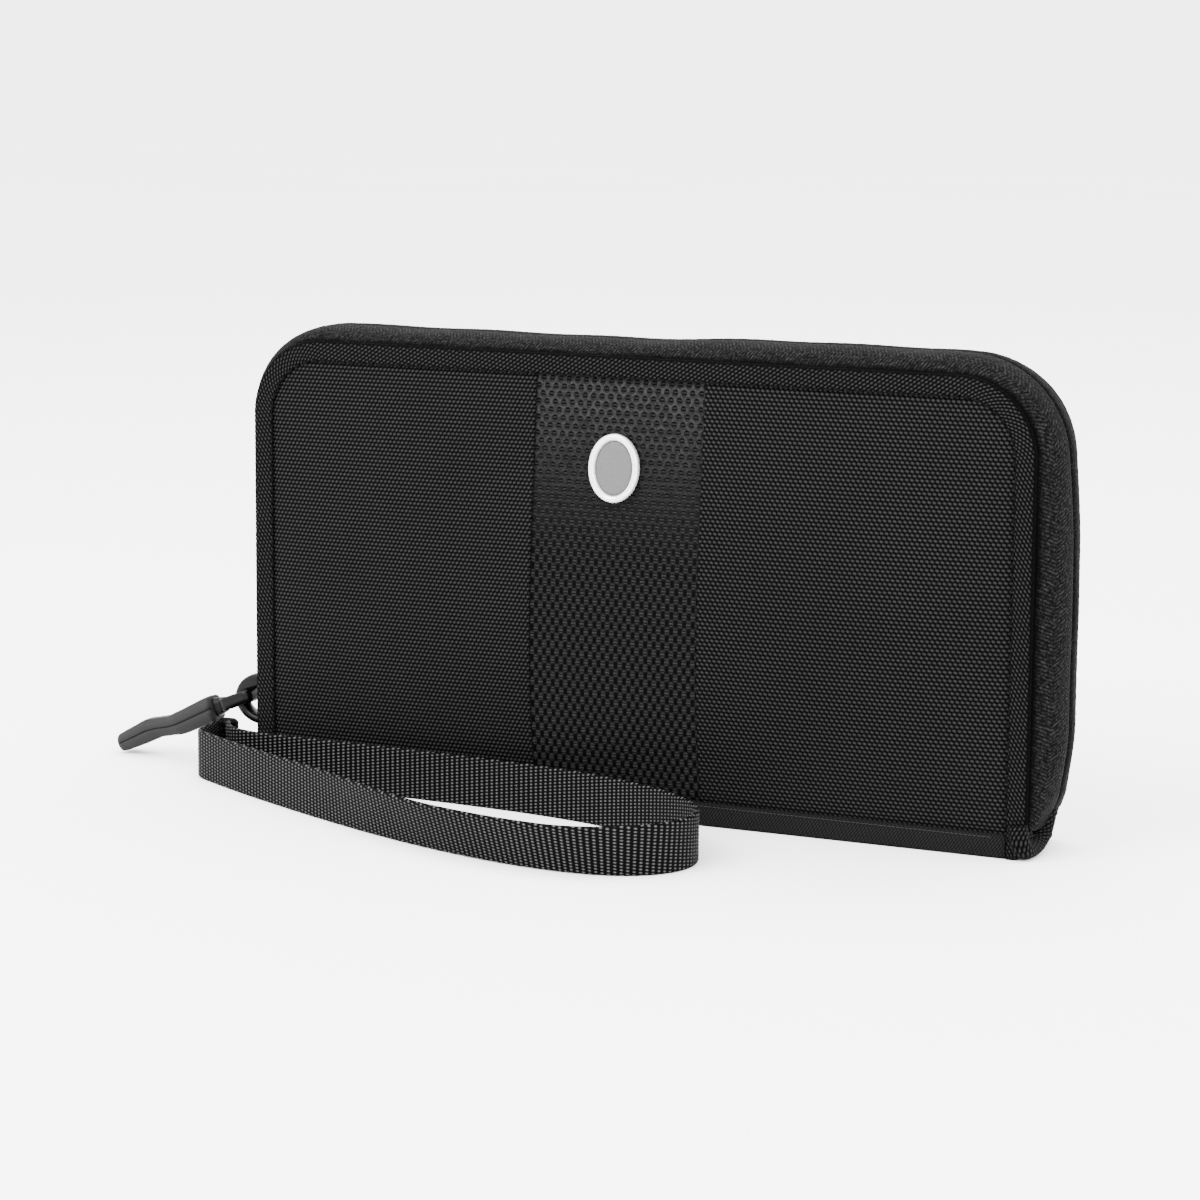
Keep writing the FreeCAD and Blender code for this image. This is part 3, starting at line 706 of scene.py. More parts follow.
def spline_points(route, height, resolution):
    """Points along the smooth line of a route, read from its NURBS spline, in millimetres."""
    curve = bpy.data.curves.new("route", "CURVE")
    curve.dimensions = "3D"
    spline = curve.splines.new("NURBS")
    spline.points.add(len(route) - 1)
    for point, (x, y) in zip(spline.points, route):
        point.co = (x, y, height, 1)
    spline.order_u = 3
    spline.use_endpoint_u = True
    curve.resolution_u = resolution
    holder = bpy.data.objects.new("route", curve)
    mesh = bpy.data.meshes.new_from_object(holder)
    points = [v.co.copy() / MM for v in mesh.vertices]
    bpy.data.objects.remove(holder)
    bpy.data.curves.remove(curve)
    bpy.data.meshes.remove(mesh)
    return points


def even_points(points, step):
    """Points at even steps along a line."""
    run = lengths(points)
    count = round(run[-1] / step)
    even = []
    for i in range(count + 1):
        j, share = place_on(run, run[-1] * i / count)
        even.append(points[j].lerp(points[j + 1], min(1, share)))
    return even


def make_strap():
    """The webbing loop: a flat woven band on edge, with rounded edges."""
    relief = 0.14
    rows = 39
    half_w = STRAP_W / 2
    line = even_points(spline_points(STRAP_ROUTE, half_w * MM, 24), 0.37)
    half_t = STRAP_T / 2 - relief
    profile = []
    for side in (1, -1):
        for i in range(rows):
            w = side * (2 * i / (rows - 1) - 1)
            edge = max(0.0, (abs(w) - 0.9) / 0.1)
            round_off = math.sqrt(max(0.0, 1 - edge ** 2.0)) if edge < 1 else 0.0
            profile.append((w * half_w, side * half_t * (0.35 + 0.65 * round_off)))
    along = lengths(line)
    rings = []
    for i, point in enumerate(line):
        ahead = line[min(i + 1, len(line) - 1)] - line[max(i - 1, 0)]
        ahead.normalize()
        share = along[i] / along[-1]
        lean = STRAP_LEAN * eased(share, 0.17, 0.34) * (1 - eased(share, 0.42, 0.54))
        out = Vector((-ahead.y, ahead.x, 0))
        rise_way = Vector((0, 0, math.cos(lean))) - out * math.sin(lean)
        thick_way = out * math.cos(lean) + Vector((0, 0, math.sin(lean)))
        foot = point - Vector((0, 0, half_w - half_t * math.sin(lean)))
        ring = []
        for w, t in profile:
            rise = relief * eased(wave_level(WEBBING, along[i], w + half_w), 0.42, 0.98)
            push = t + math.copysign(rise, t) * (1 if abs(w) < half_w * 0.97 else 0)
            ring.append(foot + thick_way * push + rise_way * (w + half_w))
        rings.append(ring)
    across_from_width = [w + half_w for w, t in profile] + [profile[0][0] + half_w]
    strap = sweep("wrist_strap_webbing", rings, along, across_from_width)
    finish_piece(strap, FRONT, "webbing", "wrist_strap")
    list(STRAP_ROUTE[0])


# ---------------------------------------------------------------- outer fabric

def corner_inset(z, inset):
    """How far the rounded outline pulls in at a height, beyond its straight side."""
    r = CORNER_R - inset
    over = z - KNEE
    if over <= 0:
        return 0.0
    return r - math.sqrt(max(0.0, r * r - min(over, r) ** 2))


def crowned_sheet(name, x0, x1, side, base_y, height, step, thick, relief, squeeze=1.0):
    """A stuffed outside panel as a thin closed sheet. squeeze scales its weave along x."""
    inset = BINDING_W - 0.5
    z0 = LIP_H - 0.4
    z1 = HEIGHT - inset
    rows = round((z1 - z0) / step)
    columns = round((x1 - x0) / step)
    limit = HALF_X - inset
    fronts = []
    for i in range(rows + 1):
        z = z0 + (z1 - z0) * i / rows
        pull = corner_inset(z, inset)
        left = max(x0, -limit + pull)
        right = min(x1, limit - pull)
        for j in range(columns + 1):
            x = left + (right - left) * j / columns
            edge = min(x + limit - pull, limit - pull - x, z - z0, z1 - z)
            dip = 0.75 * math.exp(-(max(0.0, edge - 0.5) / 1.1) ** 1.3)
            y = base_y + crown(min(max(x, 1 - limit), limit - 1), min(max(z, LIP_H), z1), height) - dip
            y += relief(x * squeeze, z)
            fronts.append(Vector((x, side * y, z)))
    backs = [p - Vector((0, side * thick, 0)) for p in fronts]
    return closed_sheet(name, fronts, backs, columns, squeeze)


def band_relief(x, z):
    """Sunken cells at the top of the band, turning into raised ones at its foot."""
    best = 0.0
    for shift in (0.0, 0.5):
        a = (2 * ((x / BAND_PITCH + shift) % 1) - 1) * BAND_PITCH / 2 / BAND_OVAL[0]
        b = (2 * ((z / BAND_ROW / 2 + shift) % 1) - 1) * BAND_ROW / BAND_OVAL[1]
        best = max(best, 1 - a * a - b * b)
    share = (z - LIP_H) / (HEIGHT - LIP_H)
    turn = max(-1.0, min(1.0, (0.56 - share) * 6))
    return 0.34 * turn * math.sqrt(best)


def ballistic_relief(x, z):
    """Thread floats of the ballistic cloth."""
    return 0.16 * eased(wave_level(BALLISTIC, x, z), 0.2, 0.88) - 0.08


def make_outer_panels():
    """Front side panels, the mesh band between them, and the back panel."""
    lap = 0.6
    hem_lap = 0.4
    panels = [
        ("front_panel_left", "front_left_panel", "ballistic_weave", ballistic_relief,
         -HALF_X, BAND_LEFT + lap, SKIN_Y, 0.36, 0.8, -1.12, HALF_X + BAND_LEFT),
        ("front_panel_right", "front_right_panel", "ballistic_weave", ballistic_relief,
         BAND_RIGHT - lap, HALF_X, SKIN_Y, 0.36, 0.8, 1.0, HALF_X - BAND_RIGHT),
        ("back_panel_skin", "back_panel", "ballistic_weave", ballistic_relief,
         -HALF_X, HALF_X, SKIN_Y, 0.52, 0.5, 1.0, 2 * HALF_X),
        ("front_band_mesh", "front_centre_band", "band_mesh", band_relief,
         BAND_LEFT - hem_lap, BAND_RIGHT + hem_lap, BAND_Y - hem_lap, 0.27, 0.3, 1.0,
         BAND_RIGHT - BAND_LEFT),
    ]
    for name, node, material, relief, x0, x1, base_y, step, thick, squeeze, wide in panels:
        behind = name.startswith("back")
        panel = crowned_sheet(name, x0, x1, 1 if behind else -1, base_y,
                              BACK_CROWN if behind else CROWN, step, thick, relief, squeeze)
        finish_piece(panel, BACK if behind else FRONT, material, node)


def make_bindings():
    """Folded twill tape round each cover's edge, with its ribs raised and a stitched inner edge."""
    profile = [
        (-4.6, -12.35), (-4.55, -12.75), (-4.25, -12.98), (-3.6, -13.08), (-2.4, -13.12),
        (-1.2, -13.1), (-0.2, -13.05), (0.3, -12.88), (0.5, -12.55), (0.35, -12.2),
        (-0.1, -11.95), (-0.9, -11.8), (-1.1, -8.6), (-1.2, -7.8), (-1.5, -7.55),
        (-2.2, -7.5), (-4.2, -7.55), (-4.55, -7.8), (-4.55, -8.25), (-2.7, -8.3), (-2.0, -8.4),
        (-2.0, -12.1), (-2.7, -12.2),
    ]
    rounded = refined(profile, 0.4, 9)
    face_end = 6.5
    foot_round = 5.0
    width = 4.6

    def ribs(u, v, r, y, x, z):
        if z < foot_round:
            round_off = 1 - math.sqrt(1 - (1 - z / foot_round) ** 2)
            r -= 2.6 * round_off * max(0.0, (r + width) / width)
        if v > face_end:
            return r, y
        rise = 0.2 * eased(wave_level(TWILL, u, v), 0.2, 0.85) - 0.08
        lean = max(0.0, min(1.0, (v - width) / 1.2))
        return r + rise * lean, y - rise * (1 - lean)

    def ribs_behind(u, v, r, y, x, z):
        r, y = ribs(u, v, r, -y, x, z)
        if z < 2 * foot_round:
            r -= 3.6 * (1 - z / (2 * foot_round)) ** 1.6
        return r, -y

    front = edge_sweep("front_binding_tape", rounded, 0.05, 0.05, ribs)
    finish_piece(front, FRONT, "binding_twill", "front_binding")
    back = edge_sweep("back_binding_tape", mirrored(rounded), 0.05, 0.05, ribs_behind)
    finish_piece(back, BACK, "binding_twill", "back_binding")
    inset = BINDING_W + 0.15
    for name, body, side in (("front_binding_stitches", FRONT, -1),
                             ("back_binding_stitches", BACK, 1)):
        line = [Vector((x - nx * inset, side * (SKIN_Y + 0.02), z - nz * inset))
                for x, z, nx, nz in edge_outline(1.2, LIP_H + 1, LIP_H + 1)]
        row = stitch_row(name, line, (0, side, 0), 2.7, 1.6, 0.29, 0.06)
        finish_piece(row, body, "dark_thread")


def tape_swell(x, z):
    """How full the zip tape bows at a place on the edge: fullest down the right side."""
    right = eased(x, 86.0, HALF_X)
    swell = 1.0 + 0.72 * right * eased(z, 5.0, 32.0) * (1 - 0.8 * eased(z, 72.0, 108.0))
    swell += 0.3 * eased(x, -5.0, 35.0) * (1 - eased(x, 78.0, 100.0))
    if x > HALF_X - 2:
        swell *= 0.25 + 0.75 * eased(z, ZIP_FOOT - 7, 15.0)
    return swell


def make_zip():
    """Knitted zip tapes that bow out from behind the bindings, and the coils inside them."""
    outside = [
        (-0.9, -12.1), (-0.75, -11.7), (-0.1, -11.25), (1.2, -10.55), (2.2, -9.4), (2.85, -8.1),
        (3.3, -6.6), (3.58, -5.0), (3.74, -3.6), (3.8, -2.3), (3.76, -1.2), (3.6, -0.5),
        (3.35, -0.12),
    ]
    inside = [
        (2.7, -0.12), (2.6, -1.0), (2.5, -2.4), (2.2, -3.8), (1.6, -5.2), (0.5, -6.6),
        (0.2, -8.0), (0.1, -12.0),
    ]
    profile = refined(outside + inside, 0.4, len(outside) - 1)
    outside_end = lengths([(r, y, 0) for r, y in outside])[-1]

    def stitches(u, v, r, y, x, z):
        swell = tape_swell(x, z)
        if v < 0.6 or v > outside_end - 0.3:
            return r * swell, y
        s = abs(2 * ((v / KNIT_COLUMN) % 1) - 1)
        a = 2 * (((u + s * KNIT_SLOPE * KNIT_COLUMN / 2) / KNIT_PITCH) % 1) - 1
        slack = 0.12 * math.sin(u * 0.19) * math.sin(v * 0.45)
        slack += 0.05 * math.sin(u * 2.3 + 3 * math.sin(v * 1.9)) * math.sin(v * 2.9 + u * 0.7)
        return r * swell + 0.08 * (1 - a * a) - 0.02 + slack, y

    for name, body, node, side in (("front_zip_knit", FRONT, "front_zip_tape", 1),
                                   ("back_zip_knit", BACK, "back_zip_tape", -1)):
        chosen = profile if side > 0 else mirrored(profile)
        right_foot = ZIP_FOOT - 3.2 if side > 0 else ZIP_FOOT
        tape = edge_sweep(name, chosen, ZIP_FOOT, right_foot, stitches)
        finish_piece(tape, body, "zip_knit", node)
    make_coil("front_coil", FRONT, "front_zip_coil", -1)
    make_coil("back_coil", BACK, "back_zip_coil", 1)


def make_coil(name, body, node, side):
    """One half of the coil: a flattened helix of nylon along the inner face of its tape."""
    low, high = cad(node)
    pitch = 1.35
    mid_r = high.x - HALF_X - 0.75
    mid_y = side * (abs(low.y + high.y) / 2)
    spots = edge_outline(0.5, low.z, low.z)
    base = [Vector((x, 0, z)) for x, z, nx, nz in spots]
    run = lengths(base)
    per_turn = 10
    turns = int(run[-1] / pitch)
    sides = 5
    wire = 0.27
    line = []
    for i in range(turns * per_turn + 1):
        j, share = place_on(run, i * pitch / per_turn)
        x, z, nx, nz = (a + (b - a) * share for a, b in zip(spots[j], spots[j + 1]))
        a = 2 * math.pi * i / per_turn + (math.pi if side > 0 else 0)
        r = mid_r + 0.5 * math.cos(a)
        y = mid_y - side * 0.62 * math.sin(a)
        line.append(Vector((x + nx * r, y, z + nz * r)))
    rings = []
    for i, point in enumerate(line):
        ahead = (line[min(i + 1, len(line) - 1)] - line[max(i - 1, 0)]).normalized()
        across = ahead.orthogonal().normalized()
        other = ahead.cross(across)
        rings.append([point + (across * math.cos(t) + other * math.sin(t)) * wire
                      for t in circle(sides)])
    coil = sweep(name, rings, list(range(len(rings))), list(range(sides + 1)))
    finish_piece(coil, body, "coil_nylon", node)


# -------------------------------------------------------------- general pieces

def rod(name, line, radius, sides=8):
    """A round bar or thread along a line; radius may be a function of the share of length."""
    run = lengths(line)
    rings = []
    for (point, across, other), distance in zip(across_line(line), run):
        r = radius(distance / run[-1]) if callable(radius) else radius
        rings.append([point + (across * math.cos(t) + other * math.sin(t)) * r
                      for t in circle(sides)])
    return sweep(name, rings, run, list(range(sides + 1)))


def joined(name, objects):
    """One object from several."""
    first = objects[0]
    with bpy.context.temp_override(active_object=first, object=first, selected_objects=objects,
                                   selected_editable_objects=objects):
        bpy.ops.object.join()
    first.name = name
    first.data.name = name
    return first


def stitch_row(name, line, outward, pitch, length, radius, sink):
    """Threads lying along a line, each end dipping into the cloth; outward points off the cloth."""
    run = lengths(line)
    out = Vector(outward)
    verts = []
    faces = []
    sides = 6
    steps = 6
    count = int((run[-1] - length) / pitch) + 1
    start = (run[-1] - (count - 1) * pitch - length) / 2
    for i in range(count):
        base = len(verts)
        for k in range(steps + 1):
            share = k / steps
            j, part = place_on(run, start + i * pitch + share * length)
            side = (line[j + 1] - line[j]).normalized().cross(out).normalized()
            arch = 4 * share * (1 - share)
            centre = line[j].lerp(line[j + 1], part) + out * (radius * arch ** 0.5 - sink)
            size = radius * (0.45 + 0.55 * arch ** 0.4)
            verts += [centre + (out * math.cos(t) + side * math.sin(t)) * size for t in circle(sides)]
        for k in range(steps):
            for m in range(sides):
                n = (m + 1) % sides
                a = base + k * sides
                faces.append((a + m, a + n, a + sides + n, a + sides + m))
        faces.append(tuple(base + m for m in range(sides)))
        faces.append(tuple(base + steps * sides + m for m in range(sides)))
    return new_object(name, verts, faces)


def inside_stitches(name, line, side, sink=0.05):
    """The pale stitches used on every pocket."""
    return stitch_row(name, line, (0, side, 0), 2.4, 1.7, 0.12, sink)


CLOTH_STEP = 3.0


def ripple(x, z, seed):
    """A soft uneven wave of about 1 either way, for cloth that doesn't lie flat."""
    a = math.sin(x * 0.071 + seed) * math.cos(z * 0.093 + 2.1 * seed)
    b = math.sin(x * 0.023 - z * 0.041 + 3.7 * seed)
    return 0.6 * a + 0.4 * b


def cloth_plate(name, x0, x1, z0, z1, y_face, y_back, wave, seed, hole=()):
    """A soft flat piece of cloth facing y_face, closed round its edges.

    hole is an (x0, x1, z0, z1) opening kept clear."""
    side = 1 if y_face > y_back else -1
    xs = grid_stops(x0, x1, CLOTH_STEP, hole[:2])
    zs = grid_stops(z0, z1, CLOTH_STEP, hole[2:])
    edit = bmesh.new()
    layer = edit.loops.layers.uv.new("UVMap")
    made = {}

    def vert(i, j, back):
        if (i, j, back) not in made:
            x = xs[i]
            z = zs[j]
            edge = min(x - x0, x1 - x, z - z0, z1 - z)
            fade = min(1.0, max(0.0, edge) / 4.0)
            y = y_face - side * wave * (1 - fade * (0.5 + 0.5 * ripple(x, z, seed)))
            y = y_back if back else y
            made[(i, j, back)] = edit.verts.new(Vector((x, y, z)) * MM)
        return made[(i, j, back)]

    def filled(i, j):
        if not (0 <= i < len(xs) - 1 and 0 <= j < len(zs) - 1):
            return False
        if not hole:
            return True
        x = (xs[i] + xs[i + 1]) / 2
        z = (zs[j] + zs[j + 1]) / 2
        return not (hole[0] < x < hole[1] and hole[2] < z < hole[3])

    def face(corners):
        made_face = edit.faces.new(corners)
        made_face.smooth = True
        for loop in made_face.loops:
            loop[layer].uv = (loop.vert.co.x / MM, loop.vert.co.z / MM)

    for i in range(len(xs) - 1):
        for j in range(len(zs) - 1):
            if not filled(i, j):
                continue
            ring = [(i, j), (i + 1, j), (i + 1, j + 1), (i, j + 1)]
            face([vert(a, b, False) for a, b in ring])
            face([vert(a, b, True) for a, b in reversed(ring)])
            beside = [(i, j - 1), (i + 1, j), (i, j + 1), (i - 1, j)]
            for k, (a, b) in enumerate(beside):
                if not filled(a, b):
                    p = ring[k]
                    q = ring[(k + 1) % 4]
                    face([vert(*p, False), vert(*q, False), vert(*q, True), vert(*p, True)])
    bmesh.ops.recalc_face_normals(edit, faces=edit.faces)
    mesh = bpy.data.meshes.new(name)
    edit.to_mesh(mesh)
    edit.free()
    obj = bpy.data.objects.new(name, mesh)
    bpy.context.scene.collection.objects.link(obj)
    return bevelled(obj, 0.2, 2)


def grid_stops(low, high, step, keep=()):
    """Even stops between two values that also land on the kept values."""
    marks = [low, *sorted(keep), high]
    stops = [low]
    for a, b in zip(marks, marks[1:]):
        count = max(1, round((b - a) / step))
        stops += [a + (b - a) * i / count for i in range(1, count + 1)]
    return stops


def box_piece(name, low, high, width, segments=3):
    """A box with rounded edges and UVs in millimetres."""
    low = Vector(low)
    high = Vector(high)
    corners = [(x, y, z) for x in (low.x, high.x) for y in (low.y, high.y) for z in (low.z, high.z)]
    faces = [(0, 1, 3, 2), (4, 6, 7, 5), (0, 4, 5, 1), (2, 3, 7, 6), (0, 2, 6, 4), (1, 5, 7, 3)]
    uvs = [(corners[k][0] + corners[k][1], corners[k][2] + corners[k][1]) for f in faces for k in f]
    obj = new_object(name, corners, faces, uvs, smooth=True)
    return bevelled(obj, width, segments)


# -------------------------------------------------------------- spine and badge

def make_spine():
    """The spine's cloth with its front lip, the seam along the lip, stiffener and lining."""
    lip = [
        (12.4, 0.8), (12.4, 0.15), (12.1, 0.0), (4.0, 0.0), (-6.0, 0.0), (-12.0, 0.0),
        (-12.65, 0.08), (-12.95, 0.35), (-13.05, 1.0), (-13.12, 2.4), (-13.12, 3.8), (-13.0, 4.8),
        (-12.9, 5.05), (-13.02, 5.25), (-13.0, 5.6), (-12.75, 5.85), (-12.2, 5.9), (-12.05, 5.5),
        (-12.05, 1.0), (-11.6, 0.8), (0.0, 0.8),
    ]
    half = -cad("spine_panel")[0].x
    count = 200
    rings = []
    for i in range(count + 1):
        x = -half + 2 * half * i / count
        sway = 0.06 * math.sin(x * 0.13) + 0.04 * math.sin(x * 0.31 + 1)
        rings.append([Vector((x, y + (sway if z > 2 else 0), z)) for y, z in lip])
    along = [r[0].x + half for r in rings]
    across = lengths([(y, z, 0) for y, z in lip + lip[:1]])
    spine = sweep("spine_cloth", rings, along, across)
    finish_piece(spine, FRONT, "spine_twill", "spine_panel")
    line = [Vector((-half + 1 + i * 2.0, -13.0, 5.12)) for i in range(int(half - 1))]
    seam = stitch_row("spine_lip_stitches", line, (0, -1, 0), 1.15, 1.0, 0.12, 0.03)
    finish_piece(seam, FRONT, "thread")
    for node, material in (("spine_stiffener", "board"), ("spine_lining", "lining")):
        piece = box_piece(node + "_sheet", *cad(node), SHEET_EDGE, 2)
        finish_piece(piece, FRONT, material, node)
    edge = box_piece("back_spine_fold", *cad("back_spine_edge"), 0.3, 3)
    finish_piece(edge, BACK, "spine_twill", "back_spine_edge")
    make_hinge_cloth(half)


def make_hinge_cloth(half):
    """The cloth that turns the corner between the spine and the back cover."""
    path = [(12.0, -0.02), (12.45, 0.02), (12.75, 0.2), (12.95, 0.6), (13.02, 1.2), (13.04, 2.0),
            (13.04, 2.8), (13.03, 3.6), (13.02, 4.4)]
    thick = 0.35
    rings = []
    count = 50
    for i in range(count + 1):
        x = -half + 2 * half * i / count
        outer = [Vector((x, y, max(0.0, z))) for y, z in path]
        inner = []
        for y, z in reversed(path):
            if z > 0.3:
                inner.append(Vector((x, y - thick, z)))
            else:
                inner.append(Vector((x, y - thick * 0.5, max(z, 0.0) + thick)))
        rings.append(outer + inner)
    cloth = sweep("hinge_cloth", rings, [r[0].x for r in rings], list(range(len(rings[0]) + 1)))
    cloth.data.materials.append(materials["spine_twill"])
    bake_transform(cloth)


def make_badge():
    """Plain oval badge: a bright raised rim round a grey field, leaning with the stuffed cover."""
    low, high = cad("badge_rim")
    middle = (low + high) / 2
    centre = Vector((middle.x, BADGE_FACE_Y, middle.z))
    half_x = (high.x - low.x) / 2
    lean = Matrix.Rotation(-BADGE_TILT, 3, "X")

    def oval(name, section, **options):
        rings = [[centre + lean @ Vector((a * math.cos(t), y, b * math.sin(t))) for a, b, y in section]
                 for t in circle(128)]
        rings.append(rings[0])
        piece = sweep(name, rings, [i * 0.4 for i in range(len(rings))],
                      [k * 0.5 for k in range(len(section) + 1)], **options)
        merge(piece)
        return piece

    profile = [(0.0, 0.2), (0.0, -0.7), (0.06, -1.0), (0.25, -1.25), (0.55, -1.38), (0.95, -1.4),
               (1.3, -1.3), (1.52, -1.05), (1.62, -0.8), (BADGE_RIM_W, -0.6), (BADGE_RIM_W, 0.2)]
    rim = oval("badge_rim_oval", [(half_x - r, BADGE_HALF_Z - r, y) for r, y in profile], caps=False)
    finish_piece(rim, FRONT, "plaque_rim", "badge_rim")
    a = half_x - BADGE_RIM_W
    b = BADGE_HALF_Z - BADGE_RIM_W
    steps = 10
    section = []
    for k in range(steps + 1):
        share = k / steps
        y = -0.66 - 0.16 * (1 - share ** 2) + (0.12 if share > 0.97 else 0)
        section.append((a * share, b * share, y))
    section += [(a, b, 0.1), (0.0, 0.0, 0.1)]
    field = oval("badge_field_oval", section, closed=False)
    finish_piece(field, FRONT, "plaque_field", "badge_field")


def merge(obj, distance=0.002):
    """Joins points that lie on each other and points the faces outwards."""
    edit = bmesh.new()
    edit.from_mesh(obj.data)
    bmesh.ops.remove_doubles(edit, verts=edit.verts, dist=distance * MM)
    bmesh.ops.dissolve_degenerate(edit, dist=distance * MM, edges=edit.edges)
    bmesh.ops.recalc_face_normals(edit, faces=edit.faces)
    edit.to_mesh(obj.data)
    edit.free()


# ------------------------------------------------------------- zip end, slider

def make_foot_roll(sign, full):
    """The rolled edge that runs from the front binding's foot back up to the zip."""
    forward = -12.0 - 1.5 * full
    route = [
        (103.2, forward + 0.6, 8.4), (104.1, forward, 4.6), (104.6, forward + 1.2, 2.6),
        (104.9, -8.0, 2.25), (105.2, -4.5, 2.7), (105.6, -1.6, 4.6), (105.9, 0.2, 7.6),
        (106.0, 1.4, 11.0),
    ]
    steps = 8
    stops = []
    for a, b in zip(route, route[1:]):
        stops += [Vector(a).lerp(Vector(b), k / steps) for k in range(steps)]
    for _ in range(4):
        inner = [(p + q + r) / 3 for p, q, r in zip(stops, stops[1:], stops[2:])]
        stops = stops[:1] + inner + stops[-1:]
    line = [Vector((sign * p.x, p.y, p.z)) for p in stops]
    run = lengths(line)
    sides = 28
    twill_scale = 2.1
    rings = []
    for (point, across, other), u in zip(across_line(line), run):
        ring = []
        for t in circle(sides):
            size = 1.55 + 0.75 * full + 0.16 * wave_level(TWILL, u, t * twill_scale)
            spot = point + (across * math.cos(t) + other * math.sin(t)) * size
            ring.append(Vector((spot.x, spot.y, max(0.05, spot.z))))
        rings.append(ring)
    around = [t * twill_scale for t in circle(sides) + [2 * math.pi]]
    return sweep("foot_roll", rings, run, around)


def make_zip_ends():
    """Folded cloth cuff that closes each end of the zip down to the floor."""
    y_front = -12.5
    fold_x = 101.6
    lip_r = 0.65
    steps = 12
    for side, sign, full in (("left", -1, 0.5), ("right", 1, 1.0)):
        y_back = cad("zip_end_" + side)[1].y
        count = 46
        rings = []
        for i in range(count + 1):
            share = i / count
            y = y_front + (y_back - y_front) * share
            arch = math.sin(math.pi * min(1.0, 0.04 + share * 0.96)) ** 0.6
            swell = -0.6 + 1.2 * full * arch
            top = 9.5 - 4.2 * math.sin(math.pi * min(1.0, share * 1.25)) ** 1.5
            ring = [(SPINE_X, 0.0), (fold_x, 0.0)]
            for k in range(1, steps + 1):
                h = k / steps
                ring.append((fold_x + (HALF_X - fold_x + swell) * (1 - (1 - h) ** 2.6), (top - 0.7) * h))
            edge = ring[-1][0]
            for k in range(1, 7):
                a = math.pi * k / 6
                ring.append((edge + lip_r * (math.cos(a) - 1), top - 0.7 + lip_r * math.sin(a)))
            under = max(0.6, top - 3.2)
            ring += [(edge - 1.5, under), (SPINE_X, under)]
            across = lengths([(x, z, 0) for x, z in ring + ring[:1]])
            points = []
            for (x, z), v in zip(ring, across):
                rise = 0.14 * wave_level(TWILL, y, v) if 1 < x - SPINE_X else 0.0
                points.append(Vector((sign * (x + rise), y, z)))
            rings.append(points)
        along = [r[0].y for r in rings]
        fold = sweep("zip_end_fold_" + side, rings, along, across)
        piece = joined("zip_end_fold_" + side, [fold, make_foot_roll(sign, full)])
        finish_piece(piece, FRONT, "rolled_twill", "zip_end_" + side)
    for side, sign in (("left", -1), ("right", 1)):
        ends = sorted((sign * 101.9, sign * 104.3))
        gusset = box_piece("back_foot_fold_" + side, (ends[0], 6.1, 0.5), (ends[1], 11.6, 9.6), 0.9, 4)
        finish_piece(gusset, BACK, "rolled_twill")
        for half, body in (("front", FRONT), ("back", BACK)):
            node = "zip_stop_%s_%s" % (half, side)
            piece = box_piece("stop_%s_%s" % (half, side), *cad(node), 0.25, 3)
            finish_piece(piece, body, "coil_nylon", node, slot="black_metal")


def make_slider():
    """Cast slider: shield-shaped outer plate, inner plate, post and the arched bridge."""
    low, high = cad("slider_body")
    mid_z = (low.z + high.z) / 2
    half_z = (high.z - low.z) / 2
    shape = [(2.4, -1.0), (3.3, -0.9), (3.75, -0.65), (4.1, -0.3), (4.45, 0.1), (4.5, 0.35),
             (4.35, 0.65), (3.9, 0.88), (3.1, 1.0)]
    outline = [Vector((0, y, mid_z + half_z * z)) for y, z in shape]
    outline += [Vector((0, -p.y, p.z)) for p in reversed(outline)]
    plate_t = 1.1
    outer = loop_solid("slider_plate", outline, (low.x, 0, 0), (low.x + plate_t, 0, 0))
    smaller = [Vector((0, p.y * 0.88, p.z)) for p in outline]
    inner = loop_solid("slider_inner", smaller, (high.x - 1.2, 0, 0), (high.x, 0, 0))
    post = box_piece("slider_post", (low.x + 0.8, -0.4, mid_z + 1.2), (high.x - 0.8, 0.4, mid_z + 5.2),
                     0.1)
    post.modifiers.clear()
    body = joined("slider_casting", [outer, inner, post])
    smooth_shaded(body)
    bevelled(body, 0.45, 4)
    finish_piece(body, SLIDER, "black_metal", "slider_body")

    low, high = cad("slider_bridge")
    radius = 5.75
    turns = 40
    sides = 16
    rings = []
    for i in range(turns + 1):
        t = math.pi * i / turns
        flare = 1 + 0.22 * abs(math.cos(t)) ** 3
        section = []
        for a in circle(sides):
            c = boxy(math.cos(a), 0.6)
            s = boxy(math.sin(a), 0.7)
            r = radius + 1.2 * c - (1.5 * eased(t, 1.5, 2.6) if c < 0 else 0.0)
            y = 2.05 * flare * s
            section.append(Vector((high.x - r * math.sin(t) * 1.25, y, mid_z - r * math.cos(t))))
        if i in (0, turns):
            section = [Vector((high.x + 0.25, p.y, p.z)) for p in section]
        rings.append(section)
    bridge = sweep("slider_arch", rings, [i * 0.5 for i in range(len(rings))],
                   [k * 0.4 for k in range(sides + 1)])
    finish_piece(bridge, SLIDER, "black_metal", "slider_bridge")


PIVOT = Vector((-113.6, 0.0, 18.5))
PULL_DROP = math.radians(21.5)


def from_puller(points):
    """Turns points drawn with the puller level, reaching to -x, to its hanging angle."""
    turn = Matrix.Rotation(-PULL_DROP, 3, "Y")
    return [PIVOT + turn @ Vector(p) for p in points]


